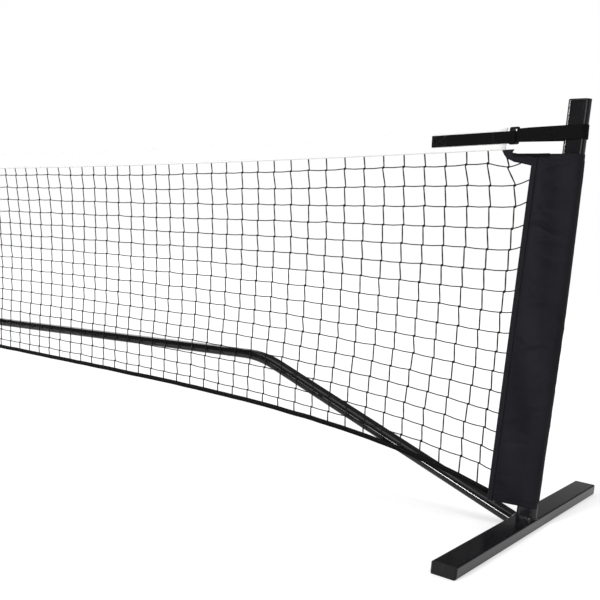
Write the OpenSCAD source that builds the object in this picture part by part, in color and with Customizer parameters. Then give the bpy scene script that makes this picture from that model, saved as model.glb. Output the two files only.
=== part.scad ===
// Portable pickleball net: a take-apart steel frame that stands on three feet
// and carries a net, a headband and two fabric sleeves.
// X runs along the net, Y across it, Z up. The origin is on the ground, mid-net.
// The net hangs on the -Y side of the frame. The left end mirrors the right end.

/* [Frame] */
// Distance from the middle of the net to the axis of an upright
post_x = 3353; // [3000:1:3600]
// Height of an upright's tube above the ground
post_top = 983; // [950:1:1080]
// Height of the joint in an upright
post_joint = 330; // [250:1:420]
// Width of the oval tube
oval_w = 50; // [46:0.5:60]
// Thickness of the oval tube
oval_h = 25; // [24:0.1:30]
// Wall of the oval tube
wall = 1.2; // [1:0.1:2]
// Radial clearance between a tube and the insert inside it
fit = 0.2; // [0.1:0.05:0.3]
// Length of each joint insert
insert_len = 160; // [130:1:200]

/* [Feet] */
// Width of a foot tube
foot_w = 58; // [54:1:70]
// Height of a foot tube
foot_h = 27; // [26:0.5:32]
// Length of an end foot with its caps
foot_len = 860; // [600:1:900]
// Length of the centre foot with its caps
centre_foot_len = 600; // [400:1:860]
// Wall of a foot tube
foot_wall = 1.5; // [1.2:0.1:3]
// Corner radius of a foot tube
foot_r = 4; // [3:0.5:6]
// Thickness of an end cap's head
cap_t = 6; // [4:0.5:10]
// Depth of an end cap's plug
plug_len = 18; // [10:1:30]

/* [Rails] */
// Height of the rail axis at the centre neck
hub_z = 203; // [160:1:240]
// Height of the bend's corner point
bend_z = 301.5; // [260:0.5:340]
// Distance from the upright's axis to the bend's corner point
bend_back = 851.5; // [700:0.5:1000]
// Radius of the bend
bend_r = 320; // [200:1:450]
// How much the tube's section draws in where it is bent
draw_in = 0.1; // [0.05:0.05:0.4]
// Distance from the upright's axis to the end of the side tube
side_end = 1020; // [960:1:1200]
// Gap between the foot and the side tube's lower end
foot_gap = 6; // [5:1:30]
// Gap between the neck and a rail's inner end
hub_gap = 3; // [2:1:15]
// Height of the neck above the rail axis
neck_over = 22; // [18:1:40]

/* [Snap buttons] */
// Diameter of a snap button
button_d = 9.5; // [6:0.5:10]
// Height of a button above the tube
button_out = 3.5; // [3:0.1:4]
// Distance from a joint to its button
button_in = 38; // [30:1:50]
// Distance from a foot's side to the side tube's button
leg_button = 64; // [55:1:80]
// Radial clearance round a button
button_fit = 0.3; // [0.2:0.05:0.5]
// Length of the spring leaf under a button
leaf_len = 40; // [30:1:55]
// Width of the spring leaf
leaf_w = 12; // [10:0.5:14]
// Thickness of the spring leaf
leaf_t = 0.8; // [0.6:0.1:1.2]
// Diameter of a rivet shank
rivet_d = 4.8; // [4:0.1:6]
// Distance from a joint to its rivet
rivet_in = 40; // [30:1:50]

/* [Net] */
// Height of the headband's lower edge at mid-net
tape_mid = 814; // [780:1:830]
// Distance from mid-net to a sideline of the court
sideline = 3048; // [2700:1:3200]
// Rise of the headband from mid-net to a sideline
tape_rise = 59; // [30:1:90]
// Height of the headband itself
tape_h = 50; // [45:1:60]
// Thickness of the headband
tape_t = 4; // [3:0.5:6]
// Place of the headband across the net, in front of the frame
tape_y = -12; // [-14:0.5:-10]
// Height of the mesh's lower edge above the ground at mid-net
mesh_low = 161; // [130:1:180]
// Extra height of the mesh at its ends
flare_h = 145; // [80:1:150]
// Distance over which the extra height fades out
flare_len = 460; // [250:1:500]
// Gaps along the coarse mesh
mesh_cols = 50; // [30:1:50]
// Gaps up the coarse mesh
mesh_rows = 6; // [4:1:6]
// Width of a strand of the coarse mesh
strand_w = 6; // [4:0.5:8]
// Thickness of a strand
strand_t = 2; // [1.5:0.5:3]
// Height of the bottom hem
hem_h = 13; // [10:1:18]
// Thickness of the bottom hem
hem_t = 4; // [3:0.5:6]

/* [Sleeves and straps] */
// Height of the sleeve's lower edge
sleeve_low = 60; // [58:1:90]
// Distance from the headband's lower edge down to the sleeve's upper edge
sleeve_drop = 13; // [8:1:40]
// Reach of the sleeve from the upright's axis to its net-side edge
sleeve_reach = 96; // [80:1:110]
// Thickness of the sleeve fabric
sleeve_t = 1.2; // [1:0.1:2]
// Room between the upright and the sleeve in front and behind
sleeve_room = 4.2; // [4:0.1:6]
// Height of the webbing straps
strap_h = 30; // [30:1:40]
// Thickness of the webbing
strap_t = 2.0; // [1.8:0.1:2.6]
// Distance from the upright's axis to the middle of the buckle
buckle_back = 138; // [120:1:160]
// Distance from the upright's axis to the end of the sewn strap
tail_back = 348; // [280:1:420]
// Width of the buckle along the strap
buckle_w = 24; // [22:0.5:30]
// Thickness of the buckle
buckle_t = 3.5; // [3:0.1:4.5]
// Width of the buckle's outer bars
bar_w = 3.5; // [3:0.1:4]
// Width of the buckle's middle bar
mid_bar_w = 4; // [3:0.5:5]
// Width of the gusset along the headband
gusset_w = 38; // [30:1:45]
// Height of the gusset at the sleeve
gusset_h = 33; // [25:1:45]

/* [Hidden] */
$fn = 48;
gap = 0.3;                                  // space left between pieces that only touch
inner_w = oval_w - 2 * wall - 2 * fit;      // outside of an insert
inner_h = oval_h - 2 * wall - 2 * fit;
cavity_h = inner_h - 2 * wall;              // inside height of an insert
leaf_gap = 0.3;                             // leaf to the insert's inner wall
clip_r = (cavity_h - 2 * leaf_gap) / 2;     // half circle that closes a clip
foot_in_r = foot_r - foot_wall / 2;         // inside corner of a foot tube

// The sloping leg and the rail meet at the bend's corner point.
corner = [post_x - bend_back, 0, bend_z];
leg_foot = [post_x - foot_w / 2, 0, foot_h / 2];
rail_angle = atan((bend_z - hub_z) / corner[0]);
leg_angle = atan((bend_z - foot_h / 2) / (leg_foot[0] - corner[0]));
turn = rail_angle + leg_angle;
tangent = bend_r * tan(turn / 2);
rail_len = norm([corner[0], 0, bend_z - hub_z]);
leg_len = norm(corner - leg_foot);

// Stations along the rail's axis, measured from the middle of the neck
side_start = (post_x - side_end) / cos(rail_angle);
hub_start = oval_h / 2 + hub_gap;
mid_joint = (hub_start + side_start) / 2;
hub_button = oval_h / 2 + leaf_len + clip_r + 4;

// The headband is a parabola; the mesh deepens towards the sleeves.
tape_end = post_x - buckle_back - buckle_w / 2 - 6;
mesh_end = post_x - sleeve_reach - gap;
net_lean = atan((oval_w / 2 + 1.5 + tape_y) / (tape_mid - bend_z));
curve_steps = 48;
function tape_low(x) = tape_mid + tape_rise * pow(x / sideline, 2);
function mesh_depth(x) = tape_mid - mesh_low + flare_h * exp((abs(x) - mesh_end) / flare_len);
function mesh_top(x) = tape_low(x) - gap;
function net_y(z) = tape_y + (z - tape_mid) * tan(net_lean);
function mesh_point(x, part) = [x, mesh_top(x) - part * (mesh_depth(x) - gap) - tape_mid];
tape_slope = atan(2 * tape_rise * tape_end / pow(sideline, 2));
sleeve_high = round(2 * (tape_low(tape_end) - sleeve_drop)) / 2;
strap_z = tape_low(tape_end) + tape_h / 2 + (post_x - tape_end) * tan(tape_slope);

button_places = ["post", "side", "outer", "inner", "hub"];

// ---- Shared shapes ----

// Right end as it is, left end as its mirror image
module side(right) {
    if (right) children();
    else mirror([1, 0, 0]) children();
}

// Flat-sided oval with its long way along X
module oval(w, h) {
    square([w - h, h], center = true);
    for (s = [-1, 1]) translate([s * (w - h) / 2, 0]) circle(d = h);
}

module oval_ring(w, h, t) {
    difference() {
        oval(w, h);
        oval(w - 2 * t, h - 2 * t);
    }
}

module oval_tube(w, h, t, len) {
    linear_extrude(len) oval_ring(w, h, t);
}

module rounded_rect(w, h, r) {
    square([w - 2 * r, h], center = true);
    square([w, h - 2 * r], center = true);
    for (x = [-1, 1], y = [-1, 1]) translate([x * (w / 2 - r), y * (h / 2 - r)]) circle(r);
}

// Runs children along +X of the ground frame: local Z forward, local X across, local Y up.
module along(start, angle) {
    translate(start) rotate([0, -angle, 0]) rotate([90, 0, 90]) children();
}

module on_rail() along([0, 0, hub_z], rail_angle) children();
module on_leg() along(corner, -leg_angle) children();

// Position on the leg counted from the foot's side
function leg_at(from_foot) = leg_len - from_foot;

// Hole for a button through a flat wall, from the axis outwards along local Y
module button_hole(station, up) {
    translate([0, 0, station]) rotate([up ? -90 : 90, 0, 0])
        cylinder(d = button_d + 2 * button_fit, h = oval_h);
}

module rivet_hole(station) {
    translate([0, 0, station]) rotate([90, 0, 0]) cylinder(d = rivet_d + 0.1, h = oval_h);
}

// ---- Snap buttons, drawn with the button pointing along local -Y ----

// Head, shank and the spring leaf that carries it
module button_body() {
    seat = cavity_h / 2 - leaf_gap;
    reach = oval_h / 2 + button_out;
    color("silver") {
        rotate([90, 0, 0]) intersection() {
            translate([0, 0, seat - leaf_t / 2]) cylinder(d = button_d, h = reach - seat + leaf_t / 2);
            translate([0, 0, reach - button_d * 0.7]) sphere(button_d * 0.7);
        }
        translate([-leaf_w / 2, -seat, -leaf_len]) cube([leaf_w, leaf_t, leaf_len + button_d]);
    }
}

// Half circle and lower leg of the spring clip, which stay still
module button_clip() {
    top = cavity_h / 2 - leaf_gap;
    color("silver") {
        translate([leaf_w / 2, 0, -leaf_len - gap]) rotate([0, -90, 0]) linear_extrude(leaf_w)
            difference() {
                circle(r = clip_r);
                circle(r = clip_r - leaf_t);
                translate([0, -cavity_h]) square([cavity_h, 2 * cavity_h]);
            }
        translate([-leaf_w / 2, top - leaf_t, -leaf_len - gap]) cube([leaf_w, leaf_t, leaf_len]);
    }
}

// Each button's place on the right half
module at_button(place) {
    if (place == "post")
        translate([post_x, 0, post_joint + button_in]) rotate([0, 0, 180]) children();
    if (place == "side")
        on_leg() translate([0, 0, leg_at(leg_button)]) rotate([180, 0, 0]) children();
    if (place == "outer")
        on_rail() translate([0, 0, side_start + button_in]) children();
    if (place == "inner")
        on_rail() translate([0, 0, mid_joint + button_in]) children();
    if (place == "hub")
        on_rail() translate([0, 0, hub_button]) children();
}

// Snap button with its leaf: slides into the tube when it is pressed
module snap_button(place, right) side(right) at_button(place) button_body();

// Fixed halves of the ten spring clips
module button_clips() {
    for (right = [true, false], place = button_places) side(right) at_button(place) button_clip();
}

// ---- Feet ----

// Rectangular steel tube that lies across the net
module foot_tube(len) {
    color("black") translate([0, len / 2, foot_h / 2]) rotate([90, 0, 0]) linear_extrude(len)
        difference() {
            rounded_rect(foot_w, foot_h, foot_r);
            rounded_rect(foot_w - 2 * foot_wall, foot_h - 2 * foot_wall, foot_in_r);
        }
}

// Moulded end caps: a head with bevelled corners and a plug inside the tube
module foot_caps(len) {
    plug_w = foot_w - 2 * foot_wall - 2 * fit;
    plug_h = foot_h - 2 * foot_wall - 2 * fit;
    bevel = cap_t * 0.6;
    color("dimgray") for (s = [0, 180]) rotate([0, 0, s]) {
        intersection() {
            translate([0, len / 2, foot_h / 2]) rotate([90, 0, 0]) linear_extrude(cap_t)
                rounded_rect(foot_w, foot_h, foot_r);
            linear_extrude(foot_h) polygon([
                [-foot_w / 2, len / 2 - cap_t], [foot_w / 2, len / 2 - cap_t],
                [foot_w / 2, len / 2 - bevel], [foot_w / 2 - bevel, len / 2],
                [bevel - foot_w / 2, len / 2], [-foot_w / 2, len / 2 - bevel]]);
        }
        translate([0, len / 2 - cap_t, foot_h / 2]) rotate([90, 0, 0]) linear_extrude(plug_len)
            difference() {
                rounded_rect(plug_w, plug_h, foot_in_r);
                rounded_rect(plug_w - 2 * foot_wall, plug_h - 2 * foot_wall, foot_in_r / 2);
            }
    }
}

module end_foot(right) side(right) translate([post_x, 0, 0]) foot_tube(foot_len - 2 * cap_t);
module end_foot_caps(right) side(right) translate([post_x, 0, 0]) foot_caps(foot_len);
module foot_centre() foot_tube(centre_foot_len - 2 * cap_t);
module foot_caps_centre() foot_caps(centre_foot_len);

// ---- Uprights ----

// Lower half of an upright, welded to its foot
module post_lower(right) side(right) color("black") difference() {
    translate([post_x, 0, foot_h]) oval_tube(oval_w, oval_h, wall, post_joint - foot_h);
    translate([post_x, 0, post_joint - rivet_in]) rotate([-90, 0, 0])
        cylinder(d = rivet_d + 0.1, h = oval_h);
}

// Upper half, which lifts off the insert
module post_upper(right) side(right) color("black") difference() {
    translate([post_x, 0, post_joint]) oval_tube(oval_w, oval_h, wall, post_top - post_joint);
    translate([post_x, 0, post_joint + button_in]) rotate([-90, 0, 0])
        cylinder(d = button_d + 2 * button_fit, h = oval_h);
}

// Inner tube riveted into the lower half
module post_insert(right) side(right) color("gray") difference() {
    translate([post_x, 0, post_joint - insert_len / 2]) oval_tube(inner_w, inner_h, wall, insert_len);
    translate([post_x, 0, post_joint + button_in]) rotate([-90, 0, 0])
        cylinder(d = button_d + 2 * button_fit, h = oval_h);
    translate([post_x, 0, post_joint - rivet_in]) rotate([-90, 0, 0])
        cylinder(d = rivet_d + 0.1, h = oval_h);
}

// Plug that closes the top of an oval tube
module oval_cap(head) {
    color("dimgray") {
        linear_extrude(head) oval(oval_w, oval_h);
        translate([0, 0, -plug_len]) oval_tube(inner_w, inner_h, wall, plug_len);
    }
}
module post_cap(right) side(right) translate([post_x, 0, post_top]) oval_cap(3);

// ---- Side tubes and rails ----

// Short inner tube welded to the side of the foot
module side_spigot(right) side(right) color("gray") difference() {
    on_leg() translate([0, 0, leg_at(insert_len * 0.7)])
        oval_tube(inner_w, inner_h, wall, insert_len * 0.7 + foot_w / 4);
    translate([leg_foot[0], -foot_w, -foot_h]) cube([foot_w, 2 * foot_w, 3 * foot_h]);
    on_leg() button_hole(leg_at(leg_button), true);
}

// Bent tube from the foot up to the rails, drawn from the start of its bend
module side_tube(right) side(right) color("black") difference() {
    on_rail() translate([0, 0, rail_len - tangent]) {
        mirror([0, 0, 1]) oval_tube(oval_w, oval_h, wall, rail_len - tangent - side_start);
        translate([0, -bend_r, 0]) {
            difference() {
                rotate([90, 0, 90]) rotate_extrude(angle = turn + 1, $fn = 180)
                    translate([bend_r, 0]) rotate(90) oval_ring(oval_w - draw_in, oval_h - draw_in, wall);
                rotate([turn, 0, 0]) translate([-oval_w, 0, 0]) cube([2 * oval_w, 2 * bend_r, oval_w]);
            }
            rotate([turn, 0, 0]) translate([0, bend_r, 0])
                oval_tube(oval_w, oval_h, wall, leg_len - tangent - foot_gap);
        }
    }
    on_leg() button_hole(leg_at(leg_button), true);
    on_rail() button_hole(side_start + button_in, false);
}

module rail(from, to) {
    on_rail() translate([0, 0, from]) oval_tube(oval_w, oval_h, wall, to - from);
}

module rail_outer(right) side(right) color("black") difference() {
    rail(mid_joint, side_start);
    on_rail() button_hole(mid_joint + button_in, false);
    on_rail() rivet_hole(side_start - rivet_in);
}

module rail_inner(right) side(right) color("black") difference() {
    rail(hub_start, mid_joint);
    on_rail() button_hole(hub_button, false);
    on_rail() rivet_hole(mid_joint - rivet_in);
}

module rail_insert(joint) color("gray") difference() {
    on_rail() translate([0, 0, joint - insert_len / 2]) oval_tube(inner_w, inner_h, wall, insert_len);
    on_rail() button_hole(joint + button_in, false);
    on_rail() rivet_hole(joint - rivet_in);
}
module outer_insert(right) side(right) rail_insert(side_start);
module inner_insert(right) side(right) rail_insert(mid_joint);

// ---- Centre neck ----

// Upright oval tube with a spigot welded to each flat side for the rails
module centre_neck() color("black") {
    neck_h = hub_z + neck_over - foot_h;
    translate([0, 0, foot_h]) rotate([0, 0, 90]) oval_tube(oval_w, oval_h, wall, neck_h);
    for (right = [true, false]) side(right) difference() {
        on_rail() oval_tube(inner_w, inner_h, wall, hub_button + insert_len / 4);
        translate([0, 0, foot_h]) rotate([0, 0, 90]) linear_extrude(neck_h)
            oval(oval_w - 2 * wall, oval_h - 2 * wall);
        on_rail() button_hole(hub_button, false);
    }
}

module neck_cap() translate([0, 0, hub_z + neck_over]) rotate([0, 0, 90]) oval_cap(3);

// ---- Welds and rivets ----

// Bead round the foot of an oval tube, in two steps
module bead() {
    for (s = [[2.6, 1.6], [1.3, 3]]) linear_extrude(s[1]) difference() {
        oval(oval_w + 2 * s[0], oval_h + 2 * s[0]);
        oval(oval_w, oval_h);
    }
}

module weld_beads() color("black") {
    for (right = [true, false]) side(right) translate([post_x, 0, foot_h]) bead();
    translate([0, 0, foot_h]) rotate([0, 0, 90]) bead();
}

// Blind rivet: shank through both walls and a domed head outside, along -Y
module rivet() {
    color("dimgray") rotate([90, 0, 0]) {
        translate([0, 0, cavity_h / 2]) cylinder(d = rivet_d, h = (oval_h - cavity_h) / 2);
        translate([0, 0, oval_h / 2]) cylinder(d1 = rivet_d * 2, d2 = rivet_d * 1.3, h = 1.2);
    }
}

module insert_rivets() {
    for (right = [true, false]) side(right) {
        translate([post_x, 0, post_joint - rivet_in]) rotate([0, 0, 180]) rivet();
        on_rail() translate([0, 0, side_start - rivet_in]) rivet();
        on_rail() translate([0, 0, mid_joint - rivet_in]) rivet();
    }
}

// ---- Net ----

// Outline between two edges, each a function's list of points
module band(upper, lower) {
    polygon(concat(upper, [for (i = [len(lower) - 1:-1:0]) lower[i]]));
}

// Stands a sheet drawn in X and height on the net's plane, which leans out towards -Y
module net_plane(t, front = 0) {
    translate([0, tape_y, tape_mid]) rotate([90 - net_lean, 0, 0])
        translate([0, 0, front - t / 2]) linear_extrude(t) children();
}

function across(half, n) = [for (i = [0:n]) half * (2 * i / n - 1)];

module headband() color("white") {
    xs = across(tape_end, curve_steps);
    translate([0, tape_y + tape_t / 2, 0]) rotate([90, 0, 0]) linear_extrude(tape_t)
        band([for (x = xs) [x, tape_low(x) + tape_h]], [for (x = xs) [x, tape_low(x)]]);
}

// Coarse mesh: its strands stand for the fine knotted net
module netting() color("black") {
    xs = across(mesh_end, curve_steps);
    pitch = 2 * mesh_end / mesh_cols;
    half = strand_w / 2;
    net_plane(strand_t) difference() {
        band([for (x = xs) mesh_point(x, 0)], [for (x = xs) mesh_point(x, 1)]);
        for (i = [0:mesh_cols - 1], j = [0:mesh_rows - 1]) {
            x0 = -mesh_end + i * pitch + half;
            x1 = x0 + pitch - strand_w;
            polygon([
                mesh_point(x0, j / mesh_rows) - [0, half],
                mesh_point(x1, j / mesh_rows) - [0, half],
                mesh_point(x1, (j + 1) / mesh_rows) + [0, half],
                mesh_point(x0, (j + 1) / mesh_rows) + [0, half]]);
        }
    }
}

module bottom_hem() color("black") {
    xs = across(mesh_end, curve_steps);
    net_plane(hem_t) band(
        [for (x = xs) mesh_point(x, 1) - [0, gap]],
        [for (x = xs) mesh_point(x, 1) - [0, gap + hem_h]]);
}

// ---- Sleeves, gussets and straps ----

// One level of the sleeve: round the upright and out to the edge by the net
module sleeve_level(z, out, edge, reach) {
    round_end = oval_w / 2 - oval_h / 2 - sleeve_room + gap;
    translate([0, 0, z]) linear_extrude(0.01) {
        for (s = [-1, 1]) translate([s * round_end, 0]) circle(oval_h / 2 + sleeve_room + out);
        translate([edge - reach, net_y(z)]) circle(edge);
    }
}

// Fabric pocket over the upright; its edge by the net leans out with the net
module sleeve(right) side(right) color("black") translate([post_x, 0, 0]) difference() {
    edge = 2 * sleeve_t;
    hull() for (z = [sleeve_low, sleeve_high]) sleeve_level(z, sleeve_t, edge, sleeve_reach);
    hull() for (z = [sleeve_low - 1, sleeve_high + 1])
        sleeve_level(z, 0, sleeve_t / 2, sleeve_reach - 4 * edge);
}

// Fabric tab in front of the net, from the headband's corner to the top of the sleeve
module gusset(right) {
    inner = tape_end + 24 - gusset_w;
    notch = tape_end + 24;
    outer = post_x - sleeve_reach - gap;
    top = sleeve_high - tape_mid;
    low = top - gusset_h;
    under_tape = tape_low(inner) - tape_mid - 3 * gap;
    side(right) color("black") net_plane(sleeve_t, strand_t / 2 + gap + sleeve_t / 2) polygon(concat(
        [for (t = [0:0.125:1]) [inner + (outer - inner) * t, under_tape - (under_tape - low) * pow(t, 0.6)]],
        [[outer, top], [notch - gusset_w / 5, top], [notch, tape_low(notch) - tape_mid - 3 * gap]]));
}

// The strap runs at the headband's slope, turned about the upright's axis.
module on_strap(right) side(right) color("black")
    translate([post_x, 0, strap_z]) rotate([0, -tape_slope, 0]) translate([0, 0, -strap_h / 2])
    linear_extrude(strap_h) children();

bar_turn = norm([bar_w, buckle_t]) / 2 + gap; // inner radius of the loop's turn round the outer bar

// Webbing loop round the upright and the buckle's outer bar
module strap_loop(right) {
    bar_x = buckle_w / 2 - bar_w / 2 - buckle_back;
    slack = strap_h / 2 * tan(tape_slope);
    end_x = (oval_w - oval_h) / 2 + slack;
    on_strap(right) difference() {
        hull() {
            for (s = [-1, 1]) translate([s * end_x, 0]) circle(oval_h / 2 + gap + strap_t);
            translate([bar_x, tape_y]) circle(bar_turn + strap_t, $fn = 24);
        }
        hull() {
            for (s = [-1, 1]) translate([s * end_x, 0]) circle(oval_h / 2 + gap);
            translate([bar_x, tape_y]) circle(bar_turn, $fn = 24);
        }
    }
}

// Three-bar slide buckle
module buckle(right) {
    window_w = (buckle_w - 2 * bar_w - mid_bar_w) / 2;
    side(right) color("black") translate([post_x, 0, strap_z]) rotate([0, -tape_slope, 0])
        translate([-buckle_back, tape_y + buckle_t / 2, 0]) rotate([90, 0, 0])
        linear_extrude(buckle_t) difference() {
            rounded_rect(buckle_w, strap_h + 9, 4);
            for (s = [-1, 1]) translate([s * (mid_bar_w + window_w) / 2, 0])
                square([window_w, strap_h + 2], center = true);
        }
}

// Webbing folded round the buckle's middle bar and sewn to both faces of the headband
module strap_tail(right) {
    turn = norm([mid_bar_w, buckle_t]) / 2 + gap;
    open = tape_t / 2 + gap;
    on_strap(right) translate([0, tape_y]) difference() {
        union() {
            translate([-tail_back, -open - strap_t]) square([tail_back - buckle_back, 2 * (open + strap_t)]);
            translate([-buckle_back, 0]) circle(turn + strap_t);
        }
        translate([-tail_back - 1, -open]) square([tail_back + 1 - buckle_back, 2 * open]);
        translate([-buckle_back, 0]) circle(turn);
    }
}

end_foot(true);  // foot_right
end_foot(false);  // foot_left
foot_centre();
end_foot_caps(true);  // foot_caps_right
end_foot_caps(false);  // foot_caps_left
foot_caps_centre();
post_lower(true);  // post_lower_right
post_lower(false);  // post_lower_left
post_upper(true);  // post_upper_right
post_upper(false);  // post_upper_left
post_cap(true);  // post_cap_right
post_cap(false);  // post_cap_left
post_insert(true);  // post_insert_right
post_insert(false);  // post_insert_left
side_spigot(true);  // side_spigot_right
side_spigot(false);  // side_spigot_left
side_tube(true);  // side_tube_right
side_tube(false);  // side_tube_left
rail_outer(true);  // rail_outer_right
rail_outer(false);  // rail_outer_left
rail_inner(true);  // rail_inner_right
rail_inner(false);  // rail_inner_left
outer_insert(true);  // outer_insert_right
outer_insert(false);  // outer_insert_left
inner_insert(true);  // inner_insert_right
inner_insert(false);  // inner_insert_left
centre_neck();
neck_cap();
weld_beads();
insert_rivets();
button_clips();
snap_button("post", true);  // post_button_right
snap_button("post", false);  // post_button_left
snap_button("side", true);  // side_button_right
snap_button("side", false);  // side_button_left
snap_button("outer", true);  // outer_button_right
snap_button("outer", false);  // outer_button_left
snap_button("inner", true);  // inner_button_right
snap_button("inner", false);  // inner_button_left
snap_button("hub", true);  // hub_button_right
snap_button("hub", false);  // hub_button_left
headband();
netting();
bottom_hem();
sleeve(true);  // sleeve_right
sleeve(false);  // sleeve_left
gusset(true);  // gusset_right
gusset(false);  // gusset_left
strap_loop(true);  // strap_loop_right
strap_loop(false);  // strap_loop_left
strap_tail(true);  // strap_tail_right
strap_tail(false);  // strap_tail_left
buckle(true);  // buckle_right
buckle(false);  // buckle_left
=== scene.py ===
import math
import random
import bmesh
import bpy
from mathutils import Matrix, Vector, noise


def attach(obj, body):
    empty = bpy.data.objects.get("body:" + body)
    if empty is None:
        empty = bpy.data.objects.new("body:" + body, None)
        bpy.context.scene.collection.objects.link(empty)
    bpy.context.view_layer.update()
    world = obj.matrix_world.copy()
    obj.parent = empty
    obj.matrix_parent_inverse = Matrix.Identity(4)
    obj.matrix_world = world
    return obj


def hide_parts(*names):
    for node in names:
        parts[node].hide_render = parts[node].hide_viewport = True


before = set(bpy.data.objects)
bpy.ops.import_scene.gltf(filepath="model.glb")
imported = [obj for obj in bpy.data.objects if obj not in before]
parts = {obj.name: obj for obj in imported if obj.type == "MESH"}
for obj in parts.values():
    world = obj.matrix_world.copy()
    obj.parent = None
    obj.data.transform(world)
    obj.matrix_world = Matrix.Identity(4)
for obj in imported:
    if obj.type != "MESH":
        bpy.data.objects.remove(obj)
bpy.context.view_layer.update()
scene = bpy.context.scene
sides = ((1, "right"), (-1, "left"))  # the sign of x at each end of the net
print("frame loaded:", len(parts), "steel, plastic and cloth nodes")


def linked(name, data):
    thing = bpy.data.objects.new(name, data)
    scene.collection.objects.link(thing)
    return thing


cameraSet = {
    "place": (4.0303, -1.8746, 0.6458),
    "yaw": -36.31,  # degrees, as pitch and roll are
    "pitch": 11.443,
    "roll": -4.057,
    "lens": 49.575,
    "sensor": 36,
    "shiftY": 0.1772,
    "clip": (0.05, 60),
}


def placeCamera():
    yaw, pitch, roll = (math.radians(cameraSet[name]) for name in ("yaw", "pitch", "roll"))
    flat = math.cos(pitch)
    forward = Vector((math.sin(yaw) * flat, math.cos(yaw) * flat, -math.sin(pitch)))
    level = Vector((math.cos(yaw), -math.sin(yaw), 0))
    plumb = forward.cross(level)
    right = math.cos(roll) * level + math.sin(roll) * plumb
    down = math.cos(roll) * plumb - math.sin(roll) * level
    data = bpy.data.cameras.new("camera")
    data.lens = cameraSet["lens"]
    data.sensor_width = cameraSet["sensor"]
    data.shift_y = cameraSet["shiftY"]
    data.clip_start, data.clip_end = cameraSet["clip"]
    camera = linked("camera", data)
    turn = Matrix((right, -down, -forward)).transposed()
    camera.matrix_world = Matrix.Translation(cameraSet["place"]) @ turn.to_4x4()
    scene.camera = camera


placeCamera()
print("camera placed")


def join(tree, source, target):
    tree.links.new(source, target)


def addNode(tree, kind, inputs=None, **settings):
    # each input takes a plain value or another node's output, and None leaves it alone
    node = tree.nodes.new(kind)
    for name, value in settings.items():
        setattr(node, name, value)
    for name, value in (inputs or {}).items():
        if isinstance(value, bpy.types.NodeSocket):
            join(tree, value, node.inputs[name])
        elif value is not None:
            node.inputs[name].default_value = value
    return node


def calc(tree, operation, *values):
    return addNode(tree, "ShaderNodeMath", dict(enumerate(values)), operation=operation).outputs[0]


def newTree(name, kind, inputs, outputs):
    # a node group with named sockets, whose kinds are given without their common first words
    tree = bpy.data.node_groups.new(name, kind)
    sockets = tree.interface
    for label, socketKind, value in inputs:
        socket = sockets.new_socket(name=label, in_out="INPUT", socket_type="NodeSocket" + socketKind)
        if value is not None:
            socket.default_value = value
    for label, socketKind in outputs:
        sockets.new_socket(name=label, in_out="OUTPUT", socket_type="NodeSocket" + socketKind)
    return tree, tree.nodes.new("NodeGroupInput").outputs, tree.nodes.new("NodeGroupOutput").inputs


def cloud(tree, vector, scale, detail, roughness):
    inputs = {"Vector": vector, "Scale": scale, "Detail": detail, "Roughness": roughness}
    return addNode(tree, "ShaderNodeTexNoise", inputs).outputs["Fac"]


def buildGrain():
    # two sizes of noise: a soft unevenness and a fine grain
    tree, start, end = newTree(
        "surfaceGrain", "ShaderNodeTree",
        [("Vector", "Vector", None), ("Fine Scale", "Float", 900.0),
         ("Coarse Scale", "Float", 14.0), ("Coarse Share", "Float", 0.3)],
        [("Height", "Float"), ("Patches", "Float")])
    fine = cloud(tree, start["Vector"], start["Fine Scale"], 2.0, 0.5)
    coarse = cloud(tree, start["Vector"], start["Coarse Scale"], 3.0, 0.55)
    inputs = {0: start["Coarse Share"], 2: fine, 3: coarse}
    join(tree, addNode(tree, "ShaderNodeMix", inputs, data_type="FLOAT").outputs[0], end["Height"])
    join(tree, coarse, end["Patches"])
    return tree


def buildDust():
    # thin dust and rubbed spots: a mask that comes and goes over the surface
    tree, start, end = newTree(
        "dustAndWear", "ShaderNodeTree",
        [("Vector", "Vector", None), ("Scale", "Float", 22.0),
         ("Threshold", "Float", 0.58), ("Softness", "Float", 0.12)],
        [("Mask", "Float")])
    spots = cloud(tree, start["Vector"], start["Scale"], 6.0, 0.68)
    above = calc(tree, "SUBTRACT", spots, start["Threshold"])
    share = addNode(tree, "ShaderNodeClamp", {0: calc(tree, "DIVIDE", above, start["Softness"])})
    join(tree, share.outputs[0], end["Mask"])
    return tree


def buildWeave():
    # over and under threads, placed by the cloth's own map in metres
    tree, start, end = newTree(
        "wovenThreads", "ShaderNodeTree",
        [("UV", "Vector", None), ("Across Pitch", "Float", 0.0006),
         ("Along Pitch", "Float", 0.0006), ("Slant", "Float", 0.0)],
        [("Height", "Float"), ("Threads", "Float")])
    split = addNode(tree, "ShaderNodeSeparateXYZ", {0: start["UV"]}).outputs
    across = calc(tree, "DIVIDE", split[0], start["Across Pitch"])
    along = calc(tree, "DIVIDE", split[1], start["Along Pitch"])
    along = calc(tree, "ADD", along, calc(tree, "MULTIPLY", across, start["Slant"]))
    waveA, waveB = (calc(tree, "SINE", calc(tree, "MULTIPLY", way, math.pi)) for way in (across, along))
    humps = calc(tree, "MULTIPLY", calc(tree, "ABSOLUTE", waveA), calc(tree, "ABSOLUTE", waveB))
    over = calc(tree, "MULTIPLY", calc(tree, "MULTIPLY", waveA, waveB), 0.5)
    join(tree, humps, end["Height"])
    join(tree, calc(tree, "ADD", over, 0.5), end["Threads"])
    return tree


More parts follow.
